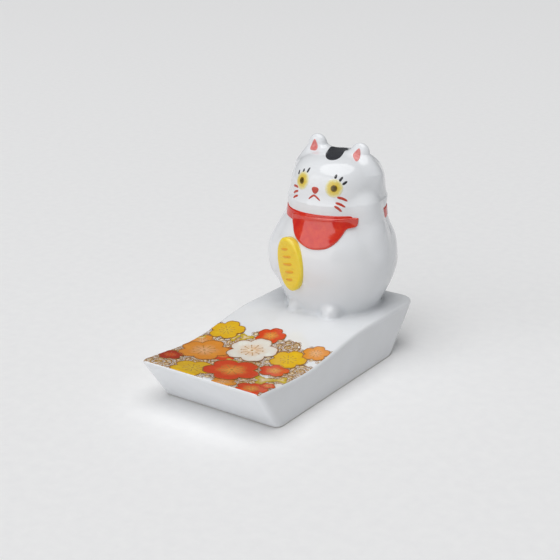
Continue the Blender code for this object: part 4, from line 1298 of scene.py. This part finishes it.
class FIGURINE_OT_blossoms(bpy.types.Operator):
    """Prints the blossoms, their gilt outlines and stamens over the low half of the plinth"""
    bl_idname = "figurine.blossoms"
    bl_label = "Printed blossoms"

    def execute(self, context):
        enamel, colors = context.scene.figurine_enamel, context.scene.figurine_colors
        plinth = plinth_distance_with(context.scene.figurine_clay)
        petals, stamens = blossom_group(), stamen_group()
        warm = tint(colors.white, 1.0, 0.82, 0.62)
        gilt = print_material("gilt_print", colors.gold[:], tint(colors.gold, 1.3, 1.5, 1.6), 9)
        inks = {"vermilion": (colors.vermilion[:], tint(colors.orange, 1.1, 1.3, 2.0)),
                "deep": (tint(colors.vermilion, 0.62, 0.55, 0.7), colors.vermilion[:]),
                "orange": (colors.orange[:], tint(warm, 1.0, 0.7, 0.5)),
                "yellow": (colors.yellow[:], tint(colors.yellow, 1.02, 1.15, 3.0)),
                "white": (colors.white[:], tint(warm, 1.0, 0.84, 0.72))}
        films = {"Film": enamel.blossom_film, "Sink": 0.05 * MM}

        def laid(name, tree, spots, rise, values, material, nodes=()):
            def lift(layer):
                return layer * enamel.print_step + rise * enamel.blossom_film
            mesh = grown(name, tree, spots, lift, {**films, **values}, material)
            cropped(mesh)
            draped(mesh, plinth)
            piece(name, mesh, material, "flower_enamel", nodes)

        nodes = ("flower_field",)
        for seed, (ink, (color, centre)) in enumerate(inks.items()):
            spots = [row[1:] for row in BLOSSOMS if row[0] == ink]
            material = print_material(ink + "_print", color, centre, seed)
            laid(ink + "_blossoms", petals, spots, 0.0, {}, material, nodes)
            nodes = ()
        leaf = print_material("leaf_print", tint(colors.yellow, 0.75, 0.9, 2.2), warm, 11)
        laid("leaves", petals, LEAVES, 0.0, {"Petals": 3.0, "Petal radius": 0.3}, leaf)
        whole = [row[1:] for row in BLOSSOMS if row[0] != "gilt"]
        fine = [row[1:] for row in BLOSSOMS if row[0] == "gilt"]
        band = {"Across": 9.0}
        laid("outlines", petals, whole, 0.6, {**band, "Inner": 0.955, "Outer": 1.0}, gilt)
        for number, (inner, outer, count) in enumerate(GILT_LINES, 1):
            laid(f"chrysanthemum_line_{number}", petals, fine, 0.2,
                 {**band, "Inner": inner, "Outer": outer, "Petals": count,
                  "Petal radius": 0.2}, gilt)
        small = {"Around": 21.0, "Across": 5.0, "Notch": 0.0}
        wash = print_material("wash_print", tint(warm, 0.95, 0.93, 0.86), warm, 13)
        laid("ground_wash", petals, ground_spots(), -0.75, {**small, "Across": 3.0}, wash)
        for number, (inner, outer) in enumerate(((0.8, 1.0), (0.35, 0.52)), 1):
            laid(f"ground_line_{number}", petals, ground_spots(), -0.5,
                 {**small, "Inner": inner, "Outer": outer}, gilt)
        laid("stamens", stamens, whole, 0.9, {}, gilt)
        return {"FINISHED"}


# ---------------------------------------------------------------- floor, light and camera

CAMERA_AZIMUTH, CAMERA_ELEVATION, CAMERA_DISTANCE = 34.8, 19.7, 394 * MM
AIM_RIGHT, AIM_UP = -2.69 * MM, 7.91 * MM
FOCAL_LENGTH = 74.3


def area_light(name, place, aim, size, power, color=(1, 1, 1)):
    light = bpy.data.lights.new(name, "AREA")
    light.shape, light.size, light.size_y = "RECTANGLE", size[0], size[1]
    light.energy, light.color = power, color
    lamp = bpy.data.objects.new(name, light)
    lamp.location = place
    lamp.rotation_euler = (Vector(aim) - Vector(place)).to_track_quat("-Z", "Y").to_euler()
    bpy.context.scene.collection.objects.link(lamp)


def floor_material():
    material, tree, shader = shader_tree("pale_paper_floor")
    place = object_place(tree)
    fibre = noise(tree, place, 260.0, 4.0, 0.6)
    tone = blend(tree, spread(tree, fibre, 0.3, 0.7, 0, 1), (0.86, 0.86, 0.865, 1),
                 (0.89, 0.89, 0.89, 1))
    tree.links.new(tone, shader.inputs["Base Color"])
    set_shader(shader, Roughness=0.9, Specular_IOR_Level=0.1)
    bumped(tree, shader, (fibre, 0.00005))
    return material


class FIGURINE_OT_stage(bpy.types.Operator):
    """Sets the pale floor, the soft studio lights and the camera"""
    bl_idname = "figurine.stage"
    bl_label = "Stage"

    def execute(self, context):
        scene = context.scene
        half = 3.0
        mesh = new_mesh("studio_floor", [(-half, -half, 0), (half, -half, 0), (half, half, 0),
                                         (-half, half, 0)], [(0, 1, 2, 3)])
        mesh.materials.append(floor_material())
        floor = bpy.data.objects.new("studio_floor", mesh)
        scene.collection.objects.link(floor)
        world = bpy.data.worlds.new("studio_air")
        world.use_nodes = True
        air = world.node_tree
        backdrop = air.nodes["Background"]
        backdrop.inputs[0].default_value = (0.95, 0.975, 1.0, 1)
        seen = air.nodes.new("ShaderNodeLightPath").outputs["Is Camera Ray"]
        air.links.new(spread(air, seen, 0.0, 1.0, 0.12, 0.78), backdrop.inputs[1])
        scene.world = world
        aim = (0, 0, 25 * MM)
        area_light("front_softbox", (-0.48, -2.74, 1.12), aim, (4.0, 2.2), 37.0, (0.98, 0.985, 1.0))
        sky = bpy.data.lights.new("overhead_light", "SUN")
        sky.energy, sky.angle = 2.1, math.radians(60)
        lamp = bpy.data.objects.new("overhead_light", sky)
        lamp.rotation_euler = Vector((0.05, -0.2, 1.0)).to_track_quat("Z", "Y").to_euler()
        scene.collection.objects.link(lamp)
        scene.view_settings.view_transform = "Standard"
        self.place_camera(scene)
        return {"FINISHED"}

    def place_camera(self, scene):
        azimuth, elevation = math.radians(CAMERA_AZIMUTH), math.radians(CAMERA_ELEVATION)
        right = Vector((math.cos(azimuth), math.sin(azimuth), 0))
        back = Vector((math.sin(azimuth) * math.cos(elevation),
                       -math.cos(azimuth) * math.cos(elevation), math.sin(elevation)))
        up = back.cross(right)
        aim = Vector((0, 0.5 * MM, 25 * MM)) + right * AIM_RIGHT + up * AIM_UP
        lens = bpy.data.cameras.new("studio_camera")
        lens.lens, lens.sensor_width = FOCAL_LENGTH, 36
        camera = bpy.data.objects.new("studio_camera", lens)
        camera.matrix_world = Matrix((right, up, back)).transposed().to_4x4()
        camera.location = aim + back * CAMERA_DISTANCE
        scene.collection.objects.link(camera)
        scene.camera = camera


# ---------------------------------------------------------------- add-on

class FIGURINE_PT_panel(bpy.types.Panel):
    bl_idname = "FIGURINE_PT_panel"
    bl_label = "Beckoning cat figurine"
    bl_space_type = "VIEW_3D"
    bl_region_type = "UI"
    bl_category = "Figurine"

    def draw(self, context):
        column = self.layout.column()
        for step in STEPS:
            column.operator(step.bl_idname)
        for sizes in (context.scene.figurine_clay, context.scene.figurine_enamel,
                      context.scene.figurine_colors):
            box = self.layout.box()
            for key in type(sizes).__annotations__:
                box.prop(sizes, key)


STEPS = (FIGURINE_OT_plinth, FIGURINE_OT_cat, FIGURINE_OT_collar, FIGURINE_OT_coin,
         FIGURINE_OT_face, FIGURINE_OT_patches, FIGURINE_OT_blossoms, FIGURINE_OT_stage)
GROUPS = {"figurine_clay": FigurineClay, "figurine_enamel": FigurineEnamel,
          "figurine_colors": FigurineColors}


def register():
    for group in (*GROUPS.values(), *STEPS, FIGURINE_PT_panel):
        bpy.utils.register_class(group)
    for name, group in GROUPS.items():
        setattr(bpy.types.Scene, name, bpy.props.PointerProperty(type=group))


def unregister():
    for name in GROUPS:
        delattr(bpy.types.Scene, name)
    for group in (FIGURINE_PT_panel, *reversed(STEPS), *GROUPS.values()):
        bpy.utils.unregister_class(group)


def main():
    register()
    bpy.ops.figurine.plinth()
    bpy.ops.figurine.cat()
    bpy.ops.figurine.collar()
    bpy.ops.figurine.coin()
    bpy.ops.figurine.face()
    bpy.ops.figurine.patches()
    bpy.ops.figurine.blossoms()
    bpy.ops.figurine.stage()


if __name__ == "__main__":
    main()
